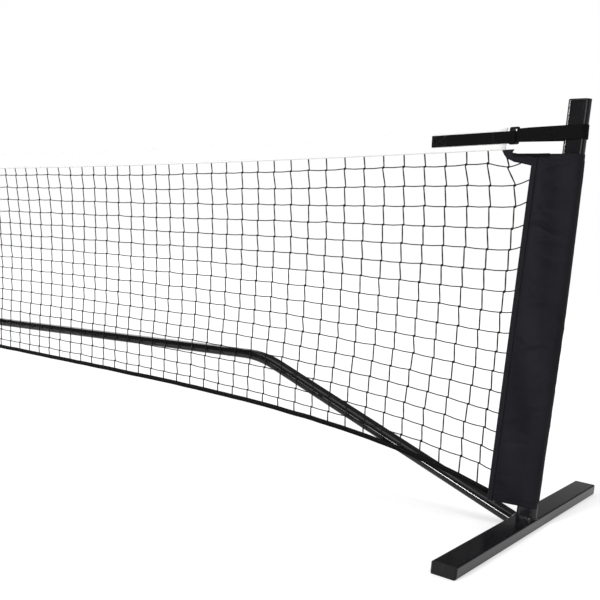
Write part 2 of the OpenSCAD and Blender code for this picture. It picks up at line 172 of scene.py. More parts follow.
def buildTwist():
    # strands laid round a cord, from its own length and turn
    tree, start, end = newTree(
        "laidStrands", "ShaderNodeTree",
        [("Along", "Float", 0.0), ("Around", "Float", 0.0),
         ("Lay", "Float", 0.004), ("Strands", "Float", 3.0)],
        [("Height", "Float")])
    turns = calc(tree, "DIVIDE", start["Along"], start["Lay"])
    wraps = calc(tree, "MULTIPLY", start["Around"], start["Strands"])
    phase = calc(tree, "MULTIPLY", calc(tree, "ADD", turns, wraps), math.tau)
    wave = calc(tree, "MULTIPLY", calc(tree, "SINE", phase), 0.5)
    join(tree, calc(tree, "ADD", wave, 0.5), end["Height"])
    return tree


grainGroup = buildGrain()
dustGroup = buildDust()
weaveGroup = buildWeave()
twistGroup = buildTwist()

finishSet = {
    "patchRange": (0.3, 0.7),  # the part of the slow noise that the gloss follows
    "dustColor": (0.16, 0.155, 0.15, 1),
    "dustDull": 0.5,
    "hardRelief": 0.0006,
    "threadShare": 0.55,
    "fluff": {"Fine Scale": 1400.0, "Coarse Scale": 9.0, "Coarse Share": 0.2},
    "fluffBump": (0.25, 0.0004),
    "weaveRelief": 0.0003,
    "clothSpread": 0.06,
    "fibre": {"Fine Scale": 1600.0, "Coarse Scale": 30.0},
    "cordRelief": 0.0004,
    "cordSpread": (0.05, 0.08),
    "strands": 2.0,
}


def newMaterial(name, color, roughness, shader):
    material = bpy.data.materials.new(name)
    material.use_nodes = True
    tree = material.node_tree
    surface = tree.nodes["Principled BSDF"].inputs
    surface["Base Color"].default_value = (*color, 1)
    surface["Roughness"].default_value = roughness
    for label, value in (shader or {}).items():
        surface[label].default_value = value
    return material, tree, surface


def useGroup(tree, group, inputs):
    return addNode(tree, "ShaderNodeGroup", inputs, node_tree=group).outputs


def ramp(tree, source, low, high, lowAt, highAt):
    inputs = {0: source, 1: lowAt, 2: highAt, 3: low, 4: high}
    return addNode(tree, "ShaderNodeMapRange", inputs).outputs[0]


def tint(tree, share, first, second):
    return addNode(tree, "ShaderNodeMix", {0: share, 6: first, 7: second}, data_type="RGBA").outputs[2]


def bumpFrom(tree, height, strength, distance, below=None):
    inputs = {"Strength": strength, "Distance": distance, "Height": height, "Normal": below}
    return addNode(tree, "ShaderNodeBump", inputs).outputs[0]


def objectCoords(tree):
    return tree.nodes.new("ShaderNodeTexCoord").outputs["Object"]


def attributeValue(tree, name):
    return addNode(tree, "ShaderNodeAttribute", attribute_name=name).outputs["Fac"]


def dressSurface(tree, surface, tone, gloss, normal):
    join(tree, tone, surface["Base Color"])
    join(tree, gloss, surface["Roughness"])
    join(tree, normal, surface["Normal"])


def hardFinish(name, dark, light, roughness, spread, fine, coarse, bump, dust=0.0, shader=None):
    # a hard surface: grain in the gloss, slow unevenness in the tone, and thin dust
    material, tree, surface = newMaterial(name, dark, roughness, shader)
    coords = objectCoords(tree)
    grain = useGroup(tree, grainGroup, {"Vector": coords, "Fine Scale": fine, "Coarse Scale": coarse})
    tone = tint(tree, grain["Patches"], (*dark, 1), (*light, 1))
    gloss = ramp(tree, grain["Patches"], roughness - spread, roughness + spread, *finishSet["patchRange"])
    if dust:
        film = calc(tree, "MULTIPLY", useGroup(tree, dustGroup, {"Vector": coords})["Mask"], dust)
        tone = tint(tree, film, tone, finishSet["dustColor"])
        gloss = calc(tree, "ADD", gloss, calc(tree, "MULTIPLY", film, finishSet["dustDull"]))
    dressSurface(tree, surface, tone, gloss, bumpFrom(tree, grain["Height"], bump, finishSet["hardRelief"]))
    return material


def wovenFinish(name, dark, light, roughness, across, along, bump, slant=0.0, wear=0.0, shader=None):
    # cloth: threads by its map, uneven dye, fine fluff in the height, and painted light where it creases:
    # paler ridges as painted sheen, darker hollows as painted shade
    material, tree, surface = newMaterial(name, dark, roughness, shader)
    uv = addNode(tree, "ShaderNodeUVMap", uv_map="cloth").outputs[0]
    threads = useGroup(tree, weaveGroup, {"UV": uv, "Across Pitch": across, "Along Pitch": along,
                                          "Slant": slant})
    grain = useGroup(tree, grainGroup, {"Vector": objectCoords(tree), **finishSet["fluff"]})
    share, spread = finishSet["threadShare"], finishSet["clothSpread"]
    mixed = calc(tree, "ADD", calc(tree, "MULTIPLY", threads["Threads"], share),
                 calc(tree, "MULTIPLY", grain["Patches"], 1 - share))
    # painted sheen and shade: the ridge attribute makes the cloth paler on fold ridges and darker in fold
    # hollows
    if wear:
        mixed = calc(tree, "ADD", mixed, calc(tree, "MULTIPLY", attributeValue(tree, "ridge"), wear))
    tone = tint(tree, mixed, (*dark, 1), (*light, 1))
    gloss = ramp(tree, grain["Patches"], roughness - spread, roughness + spread, *finishSet["patchRange"])
    fluff = bumpFrom(tree, grain["Height"], *finishSet["fluffBump"])
    normal = bumpFrom(tree, threads["Height"], bump, finishSet["weaveRelief"], fluff)
    dressSurface(tree, surface, tone, gloss, normal)
    return material


def cordFinish(name, dark, light, roughness, lay, bump, shader=None):
    # laid cord or thread: the strands follow the cord's own length and turn
    material, tree, surface = newMaterial(name, dark, roughness, shader)
    along, around = (attributeValue(tree, label) for label in ("along", "around"))
    twist = useGroup(tree, twistGroup, {"Along": along, "Around": around, "Lay": lay,
                                        "Strands": finishSet["strands"]})
    grain = useGroup(tree, grainGroup, {"Vector": objectCoords(tree), **finishSet["fibre"]})
    less, more = finishSet["cordSpread"]
    mixed = calc(tree, "MULTIPLY", twist["Height"], grain["Patches"])
    tone = tint(tree, mixed, (*dark, 1), (*light, 1))
    gloss = ramp(tree, grain["Patches"], roughness - less, roughness + more, *finishSet["patchRange"])
    dressSurface(tree, surface, tone, gloss, bumpFrom(tree, twist["Height"], bump, finishSet["cordRelief"]))
    return material


hardSet = {
    "powderCoat": dict(dark=(0.0055, 0.0055, 0.0064), light=(0.009, 0.009, 0.0105), roughness=0.18,
                       spread=0.02, fine=900.0, coarse=8.0, bump=0.012, dust=0.03,
                       shader={"Specular IOR Level": 0.36}),
    "weldCoat": dict(dark=(0.008, 0.008, 0.009), light=(0.014, 0.014, 0.016), roughness=0.22,
                     spread=0.03, fine=240.0, coarse=40.0, bump=0.9, shader={"Specular IOR Level": 0.7}),
    "zincSteel": dict(dark=(0.42, 0.43, 0.45), light=(0.6, 0.61, 0.62), roughness=0.34,
                      spread=0.08, fine=700.0, coarse=40.0, bump=0.1, shader={"Metallic": 1.0}),
    "springSteel": dict(dark=(0.36, 0.36, 0.37), light=(0.5, 0.5, 0.51), roughness=0.28,
                        spread=0.06, fine=900.0, coarse=60.0, bump=0.06, shader={"Metallic": 1.0}),
    "mouldedPlastic": dict(dark=(0.006, 0.006, 0.0065), light=(0.010, 0.010, 0.011), roughness=0.42,
                           spread=0.05, fine=1100.0, coarse=20.0, bump=0.25, dust=0.08,
                           shader={"Specular IOR Level": 0.22}),
    "bucklePlastic": dict(dark=(0.009, 0.009, 0.01), light=(0.014, 0.014, 0.015), roughness=0.2,
                          spread=0.04, fine=600.0, coarse=30.0, bump=0.05),
}
clothSet = {
    "whiteTape": dict(dark=(0.88, 0.88, 0.875), light=(0.93, 0.93, 0.925), roughness=0.42,
                      across=0.0009, along=0.0009, bump=0.22),
    "blackBinding": dict(dark=(0.002, 0.002, 0.0024), light=(0.006, 0.006, 0.0068), roughness=0.66,
                         across=0.0008, along=0.0008, bump=0.5, shader={"Specular IOR Level": 0.05}),
    "webbing": dict(dark=(0.0022, 0.0022, 0.0025), light=(0.0062, 0.0062, 0.0068), roughness=0.6,
                    across=0.0016, along=0.0021, bump=0.9, slant=0.5, shader={"Specular IOR Level": 0.05}),
    # the sleeve cloth is painted paler on its crease ridges and darker in their hollows, as painted sheen
    # and shade
    "sleeveCloth": dict(dark=(0.0058, 0.0054, 0.0076), light=(0.0142, 0.0134, 0.0178), roughness=0.56,
                        across=0.0006, along=0.0006, bump=0.5, wear=0.5,
                        shader={"Specular IOR Level": 0.09, "Sheen Weight": 0.03, "Sheen Roughness": 0.4}),
}
cordSet = {
    "netCord": dict(dark=(0.005, 0.005, 0.006), light=(0.014, 0.014, 0.016), roughness=0.6,
                    lay=0.0045, bump=0.6, shader={"Specular IOR Level": 0.15}),
    "greyThread": dict(dark=(0.014, 0.014, 0.016), light=(0.042, 0.042, 0.046), roughness=0.6,
                       lay=0.0012, bump=0.4, shader={"Specular IOR Level": 0.15}),
    "blackThread": dict(dark=(0.012, 0.012, 0.013), light=(0.035, 0.035, 0.038), roughness=0.5,
                        lay=0.0012, bump=0.4),
    "whiteThread": dict(dark=(0.7, 0.7, 0.69), light=(0.86, 0.86, 0.85), roughness=0.5,
                        lay=0.0012, bump=0.4),
}
finish = {}
for makeFinish, plans in ((hardFinish, hardSet), (wovenFinish, clothSet), (cordFinish, cordSet)):
    for finishName, values in plans.items():
        finish[finishName] = makeFinish(finishName, **values)
print("finishes made:", len(finish))

nodeFinish = {
    "powder_coat": "powderCoat",
    "zinc_steel": "zincSteel",
    "spring_steel": "springSteel",
    "black_plastic": "mouldedPlastic",
    "buckle_plastic": "bucklePlastic",
}


def dressNodes():
    dressed = 0
    for name, node in parts.items():
        current = node.data.materials[0].name if node.data.materials else ""
        slot = next((s for s in nodeFinish if current.startswith(s)), None)
        if slot is None:
            continue
        node.data.materials[0] = finish["weldCoat" if name == "weld_beads" else nodeFinish[slot]]
        dressed += 1
    print("frame nodes dressed:", dressed, "of", len(parts))


dressNodes()

netShape = {
    "postX": 3.353,
    "postRound": 0.0125,  # round ends of the oval upright, and how far out their middles lie
    "tapeMid": 0.814,
    "sideline": 3.048,
    "tapeRise": 0.059,
    "tapeHigh": 0.050,
    "tapeY": -0.012,
    "tapeEnd": 3.197,
    "lean": 0.0318,
    "meshLow": 0.161,
    "flareHigh": 0.145,
    "flareLong": 0.460,
    "meshEnd": 3.2637,
}


def tapeLow(x):
    return netShape["tapeMid"] + netShape["tapeRise"] * (x / netShape["sideline"]) ** 2


def netY(z):
    return netShape["tapeY"] + (z - netShape["tapeMid"]) * netShape["lean"]


def meshDepth(x):
    flare = math.exp((abs(x) - netShape["meshEnd"]) / netShape["flareLong"])
    return netShape["tapeMid"] - netShape["meshLow"] + netShape["flareHigh"] * flare


def hemTop(x):
    return tapeLow(x) - meshDepth(x)


def soft(place, seed):
    return noise.noise(Vector(place) + Vector((seed, seed * 1.7, -seed)))


def shareOf(value, first, last):
    # 0 at first and before it, 1 at last and beyond it
    return min(1, max(0, (value - first) / (last - first)))


def between(a, b, share):
    return [p + (q - p) * share for p, q in zip(a, b)]


def spaced(first, last, steps):
    return [first + (last - first) * i / steps for i in range(steps + 1)]


def arc(cx, cy, radius, first, last, steps):
    return [(cx + radius * math.cos(math.radians(a)), cy + radius * math.sin(math.radians(a)))
            for a in spaced(first, last, steps)]


def runLengths(points):
    # the way along a line of points, from its start to each of them
    lengths = [0.0]
    for a, b in zip(points, points[1:]):
        lengths.append(lengths[-1] + math.dist(a, b))
    return lengths


def atPost(side, x, y, z):
    # a point given from the upright's axis, at either end of the net
    return side * (netShape["postX"] + x), y, z


def settle(piece):
    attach(piece, "frame")
    return piece


def gridPiece(name, finishName, rows, columns, place, thickness,
              ring=False, flip=False, bevel=0.0):
    # a sheet of rows by columns with a wall; ring joins the last column to the first
    wide = columns if ring else columns + 1
    spots = [[place(i / rows, j / columns) for j in range(columns + 1)] for i in range(rows + 1)]
    faces, uvs = [], []
    for i in range(rows):
        for j in range(columns):
            k = (j + 1) % wide
            faces.append((i * wide + j, i * wide + k, (i + 1) * wide + k, (i + 1) * wide + j))
            for row, column in ((i, j), (i, j + 1), (i + 1, j + 1), (i + 1, j)):
                uvs.extend(spots[row][column][1])
    mesh = bpy.data.meshes.new(name)
    mesh.from_pydata([spot[0] for line in spots for spot in line[:wide]], [], faces)
    mesh.uv_layers.new(name="cloth").data.foreach_set("uv", uvs)
    mesh.materials.append(finish[finishName])
    mesh.shade_smooth()
    if flip:
        mesh.flip_normals()
    piece = linked(name, mesh)
    solid = piece.modifiers.new("thickness", "SOLIDIFY")
    solid.thickness = thickness
    solid.offset = 0.0
    solid.use_even_offset = True
    if bevel:
        edge = piece.modifiers.new("edge", "BEVEL")
        edge.width = bevel
        edge.segments = 2
        edge.limit_method = "ANGLE"
        edge.angle_limit = math.radians(50)
    return settle(piece)


def applied(piece):
    # bakes the live modifiers into the mesh
    graph = bpy.context.evaluated_depsgraph_get()
    mesh = bpy.data.meshes.new_from_object(piece.evaluated_get(graph), preserve_all_data_layers=True,
                                           depsgraph=graph)
    piece.modifiers.clear()
    piece.data = mesh
    return piece


def geometryTree(name, inputs):
    inputs = [("Geometry", "Geometry", None), *inputs, ("Material", "Material", None)]
    return newTree(name, "GeometryNodeTree", inputs, [("Geometry", "Geometry")])


def finishTree(tree, start, end, geometry):
    real = addNode(tree, "GeometryNodeRealizeInstances", {0: geometry}).outputs[0]
    paint = addNode(tree, "GeometryNodeSetMaterial", {"Geometry": real, "Material": start["Material"]})
    join(tree, paint.outputs[0], end[0])
    return tree


def shadeSmooth(tree, geometry):
    return addNode(tree, "GeometryNodeSetShadeSmooth", {"Geometry": geometry}).outputs[0]


def storeValue(tree, geometry, name, value):
    inputs = {"Geometry": geometry, "Name": name, "Value": value}
    node = addNode(tree, "GeometryNodeStoreNamedAttribute", inputs, data_type="FLOAT", domain="POINT")
    return node.outputs[0]


def namedValue(tree, name, kind="FLOAT"):
    return addNode(tree, "GeometryNodeInputNamedAttribute", {"Name": name}, data_type=kind).outputs[0]


def circle(tree, radius, sides):
    inputs = {"Radius": radius, "Resolution": sides}
    return addNode(tree, "GeometryNodeCurvePrimitiveCircle", inputs).outputs[0]


def swept(tree, curve, profile, caps=False):
    inputs = {"Curve": curve, "Profile Curve": profile, "Fill Caps": caps}
    return addNode(tree, "GeometryNodeCurveToMesh", inputs).outputs[0]


def buildCordTree():
    # cords along the net's marked edges, each hanging a little between its knots
    tree, start, end = geometryTree("netCords", [
        ("Run", "Int", 0), ("Radius", "Float", 0.0011), ("Sides", "Int", 6), ("Sag", "Float", 0.0012),
        ("Cuts", "Int", 1)])
    match = addNode(tree, "FunctionNodeCompare", {2: namedValue(tree, "run", "INT"), 3: start["Run"]},
                    data_type="INT", operation="EQUAL").outputs[0]
    curve = addNode(tree, "GeometryNodeMeshToCurve", {"Mesh": start["Geometry"], "Selection": match})
    cut = addNode(tree, "GeometryNodeSubdivideCurve", {"Curve": curve.outputs[0], "Cuts": start["Cuts"]})
    # count is whole at the knots, so its fraction runs from 0 to 1 between two of them
    share = calc(tree, "FRACT", namedValue(tree, "count"))
    bow = calc(tree, "MULTIPLY", share, calc(tree, "SUBTRACT", 1.0, share))
    drop = calc(tree, "MULTIPLY", calc(tree, "MULTIPLY", bow, 4.0), start["Sag"])
    down = addNode(tree, "ShaderNodeCombineXYZ", {2: calc(tree, "MULTIPLY", drop, -1.0)}).outputs[0]
    hung = addNode(tree, "GeometryNodeSetPosition", {"Geometry": cut.outputs[0], "Offset": down}).outputs[0]
    # the tube keeps its length and its turn for the cord's finish
    spline = tree.nodes.new("GeometryNodeSplineParameter")
    line = storeValue(tree, hung, "along", spline.outputs["Length"])
    ring = tree.nodes.new("GeometryNodeSplineParameter")
    outline = circle(tree, start["Radius"], start["Sides"])
    profile = storeValue(tree, outline, "around", ring.outputs["Factor"])
    return finishTree(tree, start, end, shadeSmooth(tree, swept(tree, line, profile, caps=True)))


knotSet = {
    "squeeze": (1.0, 0.78, 1.12),
    "wrapShare": 0.82,
    "wrapTilt": (0.5, 0.35, 0.0),
    "wrapScale": (1.0, 0.9, 1.0),
    "spin": (0.25, 0.8, 0.25),
    "sizes": (0.85, 1.12),
}


def buildKnotTree():
    # a knot where a row crosses an upright cord: a tight body with one turn of cord round it
    tree, start, end = geometryTree("netKnots", [
        ("Size", "Float", 0.0034), ("Wrap Radius", "Float", 0.0012), ("Seed", "Int", 3)])
    ball = addNode(tree, "GeometryNodeMeshUVSphere", {"Segments": 6, "Rings": 4, "Radius": start["Size"]})
    body = addNode(tree, "GeometryNodeTransform", {"Geometry": ball.outputs[0],
                                                   "Scale": knotSet["squeeze"]})
    loop = circle(tree, calc(tree, "MULTIPLY", start["Size"], knotSet["wrapShare"]), 8)
    turn = swept(tree, loop, circle(tree, start["Wrap Radius"], 3))
    wrap = addNode(tree, "GeometryNodeTransform", {"Geometry": turn, "Rotation": knotSet["wrapTilt"],
                                                   "Scale": knotSet["wrapScale"]})
    whole = tree.nodes.new("GeometryNodeJoinGeometry")
    join(tree, body.outputs[0], whole.inputs[0])
    join(tree, wrap.outputs[0], whole.inputs[0])
    least = [-angle for angle in knotSet["spin"]]
    spin = addNode(tree, "FunctionNodeRandomValue", {0: least, 1: knotSet["spin"], "Seed": start["Seed"]},
                   data_type="FLOAT_VECTOR")
    smallest, largest = knotSet["sizes"]
    size = addNode(tree, "FunctionNodeRandomValue", {2: smallest, 3: largest, "Seed": start["Seed"]},
                   data_type="FLOAT")
    knots = addNode(tree, "GeometryNodeInstanceOnPoints", {
        "Points": start["Geometry"], "Selection": namedValue(tree, "knot", "BOOLEAN"),
        "Instance": shadeSmooth(tree, whole.outputs[0]), "Rotation": spin.outputs[0],
        "Scale": size.outputs[1]})
    return finishTree(tree, start, end, knots.outputs[0])


def buildStitchTree():
    # one thread stitch every Pitch along the line, lying along it
    tree, start, end = geometryTree("stitchLine", [
        ("Pitch", "Float", 0.004), ("Stitch", "Float", 0.0028), ("Thread", "Float", 0.0004)])
    curve = addNode(tree, "GeometryNodeMeshToCurve", {"Mesh": start["Geometry"]}).outputs[0]
    even = addNode(tree, "GeometryNodeResampleCurve", {"Curve": curve, "Length": start["Pitch"]},
                   mode="LENGTH")
    stitch = addNode(tree, "GeometryNodeMeshUVSphere", {"Segments": 5, "Rings": 4, "Radius": 0.5})
    thread = start["Thread"]
    size = addNode(tree, "ShaderNodeCombineXYZ", {0: thread, 1: thread, 2: start["Stitch"]})
    wide = addNode(tree, "ShaderNodeVectorMath", {0: size.outputs[0], 1: (2.0, 2.0, 1.0)},
                   operation="MULTIPLY")
    tangent = tree.nodes.new("GeometryNodeInputTangent").outputs[0]
    turn = addNode(tree, "FunctionNodeAlignRotationToVector", {"Vector": tangent}, axis="Z")
    row = addNode(tree, "GeometryNodeInstanceOnPoints", {
        "Points": even.outputs[0], "Instance": stitch.outputs[0], "Rotation": turn.outputs[0],
        "Scale": wide.outputs[0]})
    real = addNode(tree, "GeometryNodeRealizeInstances", {0: row.outputs[0]}).outputs[0]
    return finishTree(tree, start, end, shadeSmooth(tree, real))


cordTree = buildCordTree()
knotTree = buildKnotTree()
stitchTree = buildStitchTree()


def runTree(piece, tree, values):
    modifier = piece.modifiers.new(tree.name, "NODES")
    modifier.node_group = tree
    for item in tree.interface.items_tree:
        if item.in_out == "INPUT" and item.name in values:
            modifier[item.identifier] = values[item.name]
    return applied(piece)


def stitchPiece(name, lines, finishName, sizes):
    # rows of thread stitches along lines of points; sizes are the pitch, the stitch and the thread
    pitch, stitch, thread = sizes
    verts, edges = [], []
    for line in lines:
        base = len(verts)
        verts.extend(line)
        edges.extend((base + k, base + k + 1) for k in range(len(line) - 1))
    mesh = bpy.data.meshes.new(name)
    mesh.from_pydata(verts, edges, [])
    values = {"Pitch": pitch, "Stitch": stitch, "Thread": thread, "Material": finish[finishName]}
    return settle(runTree(linked(name, mesh), stitchTree, values))


meshSet = {
    "columns": 110,
    "rows": 17,
    "pitch": 0.05974,
    "endSteps": (0.116, 0.1633, 0.221, 0.2788, 0.3375),
    "tucks": (0.006, 0.003),  # how far upright cords run into the headband and the hem
    "topGap": 0.0296,
    "topLean": (0.0328, 3.98, 0.4),  # lean, the rows it fades over and the row of the tucked end
    "cornerKnots": ((0.150, 0.861), (0.144, 0.8416), (0.122, 0.7988)),
    "cornerLean": (0.0082, 1.8),  # lean and the columns it fades over
    "lowLean": (0.0092, 11, 14),  # lean and the rows between which it comes in
    "leanWhole": 1.3,  # distance from the middle where the leans are whole
    "lowSpread": 0.00075,
    "endBack": 0.005,
    "endBackFrom": 12,
    "farLean": 0.0033,
    "farRows": 10,
    "farFrom": 25,
    "farFade": (46, 36),
    "farLift": (0.006, 20, 29),
    "rowTaper": 0.0848,
    "endTaper": 0.0294,
    "seamTaper": 0.008,
    "hemGap": 0.0227,
    "hemFlare": 0.0281,
    "flareReach": 0.236,
    "jitter": 0.0016,
    "seed": 41,
    "uprightRadius": 0.0018,
    "hitch": (0.0021, 0.0007),  # sideways and up where a knot holds an upright cord
    "rowRadius": 0.00145,
    "rowSag": 0.0011,
    "knotSize": 0.0029,
    "wrapRadius": 0.0012,
    "topEnd": (0.1155, 0.8495),
    "seamEdge": 0.087,
    "seamRise": (0.014, 0.024),  # the rows' rise to the seam at the top, and what it loses by the bottom
}


def columnPlace(k):
    # a column's place at the top of the net and its number from the nearer upright
    last = meshSet["columns"] - 1
    near = min(k, last - k)
    side = 1 if k <= last - k else -1
    if near < len(meshSet["endSteps"]):
        return side * (netShape["postX"] - meshSet["endSteps"][near]), near
    return side * (last / 2 - near) * meshSet["pitch"], near


def netKnot(k, j, wobble):
    x, near = columnPlace(k)
    side = 1 if x > 0 else -1
    rows = meshSet["rows"]
    middle = (meshSet["columns"] - 1) / 2
    x += side * meshSet["lowSpread"] * near * (1 - (near / middle) ** 4) * j / (rows - 1)
    if near > 0:
        lean, fade, tucked = meshSet["topLean"]
        pull = lean * math.exp(-max(j, tucked) / fade)
        lean, first, whole = meshSet["lowLean"]
        pull += lean * shareOf(j, first, whole)
        if j < 2:
            lean, fade = meshSet["cornerLean"]
            pull += lean * math.exp((1 - near) / fade)
        x -= side * pull * shareOf(abs(x), 0, meshSet["leanWhole"])
    elif j > meshSet["endBackFrom"]:
        x -= side * meshSet["endBack"]
    # away from the uprights the upper rows are drawn towards the middle along a slanting line of cells
    drawn = near - meshSet["farFrom"]
    if drawn > 1:
        pull = meshSet["farLean"] * max(0, min(drawn, meshSet["farRows"]) - j)
        x -= side * pull * shareOf(near, *meshSet["farFade"])
    depth = meshDepth(x)
    flare = math.exp((abs(x) - netShape["meshEnd"]) / meshSet["flareReach"])
    if j == 0:
        z = tapeLow(x) + meshSet["tucks"][0]
    elif j == rows:
        z = hemTop(x) - meshSet["tucks"][1]
    else:
        part = (j - 1) / (rows - 2)
        taper = meshSet["rowTaper"] - meshSet["endTaper"] * flare
        if near == 0:
            taper -= meshSet["seamTaper"]
        part += taper * part * (1 - part)
        hemGap = meshSet["hemGap"] + meshSet["hemFlare"] * flare
        lift, first, whole = meshSet["farLift"]
        topGap = meshSet["topGap"] - lift * shareOf(near, first, whole)
        z = tapeLow(x) - topGap - part * (depth - topGap - hemGap)
    if near == 0 and j < len(meshSet["cornerKnots"]):
        back, z = meshSet["cornerKnots"][j]
        x = side * (netShape["postX"] - back)
    if 0 < j < rows:
        x += wobble.uniform(-1, 1) * meshSet["jitter"]
        z += wobble.uniform(-1, 1) * meshSet["jitter"]
    return Vector((x, netY(z), z))


def buildNetMesh():
    # the net's points, with run 1 on the edges of upright cords and 2 on those of rows
    wobble = random.Random(meshSet["seed"])
    columns, rows = meshSet["columns"], meshSet["rows"]
    verts, edges, run, count, knot, index = [], [], [], [], [], {}

    def addPoint(place, steps, tied):
        verts.append(place)
        count.append(float(steps))
        knot.append(tied)
        return len(verts) - 1

    def addEdge(first, last, kind):
        edges.append((first, last))
        run.append(kind)
        return last

    for k in range(columns):
        for j in range(rows + 1):
            index[k, j] = addPoint(netKnot(k, j, wobble), k + j, 0 < j < rows)
    across, up = meshSet["hitch"]
    for k in range(columns):
        # each upright cord is hitched a little sideways where a knot holds it
        last = index[k, 0]
        for j in range(1, rows + 1):
            shifts = (1, -1) if j < rows else (0,)
            for shift in shifts:
                place = verts[index[k, j]] + Vector((shift * across, 0, shift * up))
                last = addEdge(last, addPoint(place, k + j, False), 1)
    for j in range(1, rows):
        for k in range(columns - 1):
            addEdge(index[k, j], index[k + 1, j], 2)
    rise, loss = meshSet["seamRise"]
    for k, side in ((0, 1), (columns - 1, -1)):
        for j in range(1, rows):
            first = index[k, j]
            back, z = meshSet["seamEdge"], verts[first].z + rise - loss * (j - 2) / (rows - 3)
            if j == 1:
                back, z = meshSet["topEnd"]
            place = Vector(atPost(side, -back, netY(z), z))
            addEdge(first, addPoint(place, count[first] + 1, False), 2)
    mesh = bpy.data.meshes.new("netKnotPoints")
    mesh.from_pydata(verts, edges, [])
    for name, kind, domain, values in (("run", "INT", "EDGE", run), ("count", "FLOAT", "POINT", count),
                                       ("knot", "BOOLEAN", "POINT", knot)):
        mesh.attributes.new(name, kind, domain).data.foreach_set("value", values)
    return mesh


def buildNet():
    mesh = buildNetMesh()
    plan = (
        ("net_uprights", cordTree, {"Run": 1, "Radius": meshSet["uprightRadius"], "Sag": 0.0}),
        ("net_rows", cordTree, {"Run": 2, "Radius": meshSet["rowRadius"], "Sag": meshSet["rowSag"]}),
        ("net_knots", knotTree, {"Size": meshSet["knotSize"], "Wrap Radius": meshSet["wrapRadius"]}),
    )
    for name, tree, values in plan:
        piece = runTree(linked(name, mesh.copy()), tree, {**values, "Material": finish["netCord"]})
        settle(piece)
        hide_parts("netting")
        print(name, len(piece.data.polygons), "faces")


buildNet()


def tapePiece(name, finishName, section, end, steps, thickness, spot):
    # a folded tape from one end of the net to the other; spot places a point of its section
    lengths = runLengths(section)

    def place(s, t):
        x = -end + 2 * end * s
        n = round(t * (len(section) - 1))
        return spot(x, *section[n]), (lengths[n], x)

    piece = gridPiece(name, finishName, steps, len(section) - 1, place, thickness)
    return piece, lengths[-1]


bandSet = {
    "thickness": 0.0007,
    "halfGap": 0.0011,
    # shares of the gap, with their heights
    "back": ((0.75, 0.0), (0.8, 0.004), (1.0, 0.010), (1.15, 0.022), (1.15, 0.034)),
    "ropeRadius": 0.0021,
    "ropeDrop": 1.15,  # in rope radii, as the fold's heights are
    "fold": ((1.05, 3.2), (0.8, 2.1)),
    "steps": 260,
    "ripple": (0.0006, 9, 4.0),  # height, waves along x, seed
    "stitchRows": ((-1, 0.006), (-1, 0.0405), (1, 0.006), (1, 0.0405)),
    "stitchProud": 0.00055,
    "stitchInset": 0.003,
    "stitch": (0.0042, 0.0031, 0.00035),
}


def bandSection():
    # up the back, over the rope in the top fold and down the front
    high = netShape["tapeHigh"]
    gap, rope = bandSet["halfGap"], bandSet["ropeRadius"]
    (gapShare, lower), (ropeShare, upper) = bandSet["fold"]
    back = [(gap * share, z) for share, z in bandSet["back"]]
    back += [(gap * gapShare, high - lower * rope), (rope * ropeShare, high - upper * rope)]
    over = arc(0, high - rope * bandSet["ropeDrop"], rope, 0, 180, 6)
    return back + over + [(-y, z) for y, z in reversed(back)]


def buildHeadband():
    end, y0 = netShape["tapeEnd"], netShape["tapeY"]
    ripple, waves, seed = bandSet["ripple"]

    def spot(x, y, z):
        wave = ripple * soft((x * waves, 0, 0), seed) * (1 - z / netShape["tapeHigh"])
        return x, y0 + y + wave, tapeLow(x) + z

    piece, cutHigh = tapePiece("headband_tape", "whiteTape", bandSection(), end,
                               bandSet["steps"], bandSet["thickness"], spot)
    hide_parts("headband")
    proud = bandSet["halfGap"] + bandSet["stitchProud"]
    reach = end - bandSet["stitchInset"]
    lines = [[(x, y0 + side * proud, tapeLow(x) + level) for x in spaced(-reach, reach, 200)]
             for side, level in bandSet["stitchRows"]]
    sewn = stitchPiece("headband_stitches", lines, "whiteThread", bandSet["stitch"])
    print("headband cut", round(cutHigh, 4), "by", round(2 * end, 3))


buildHeadband()

hemSet = {
    "high": 0.013,
    "thickness": 0.0008,
    "halfGap": 0.0013,
    "back": ((0.9, 0.0), (1.0, 0.35), (0.95, 0.75), (0.55, 0.95)),  # shares of the gap and of the height
    "steps": 240,
    "ripple": (0.0012, 16, 9.0),
    "endInset": 0.001,
    "stitchInset": 0.004,
    "stitchDrop": 0.3,
    "stitchProud": 0.00062,
    "stitch": (0.0045, 0.0032, 0.00035),
    "curveExtra": 0.1,  # what the hem's curve adds to its straight length
}


def buildHem():
    high, gap = hemSet["high"], hemSet["halfGap"]
    half = [(gap * share, -high * down) for share, down in hemSet["back"]]
    section = half + [(0.0, -high)] + [(-y, z) for y, z in reversed(half)]
    end = netShape["meshEnd"] - hemSet["endInset"]
    ripple, waves, seed = hemSet["ripple"]

    def spot(x, y, z):
        top = hemTop(x) + ripple * soft((x * waves, 0, 0), seed)
        return x, netY(top + z) + y, top + z

    piece, cutWide = tapePiece("hem_binding", "blackBinding", section, end,
                               hemSet["steps"], hemSet["thickness"], spot)
    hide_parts("bottom_hem")
    reach = end - hemSet["stitchInset"]
    lines = []
    for side in (-1, 1):
        places = [(x, hemTop(x) - high * hemSet["stitchDrop"]) for x in spaced(-reach, reach, 200)]
        lines.append([(x, netY(z) + side * (gap + hemSet["stitchProud"]), z) for x, z in places])
    sewn = stitchPiece("hem_stitches", lines, "blackThread", hemSet["stitch"])
    print("hem bound")


buildHem()

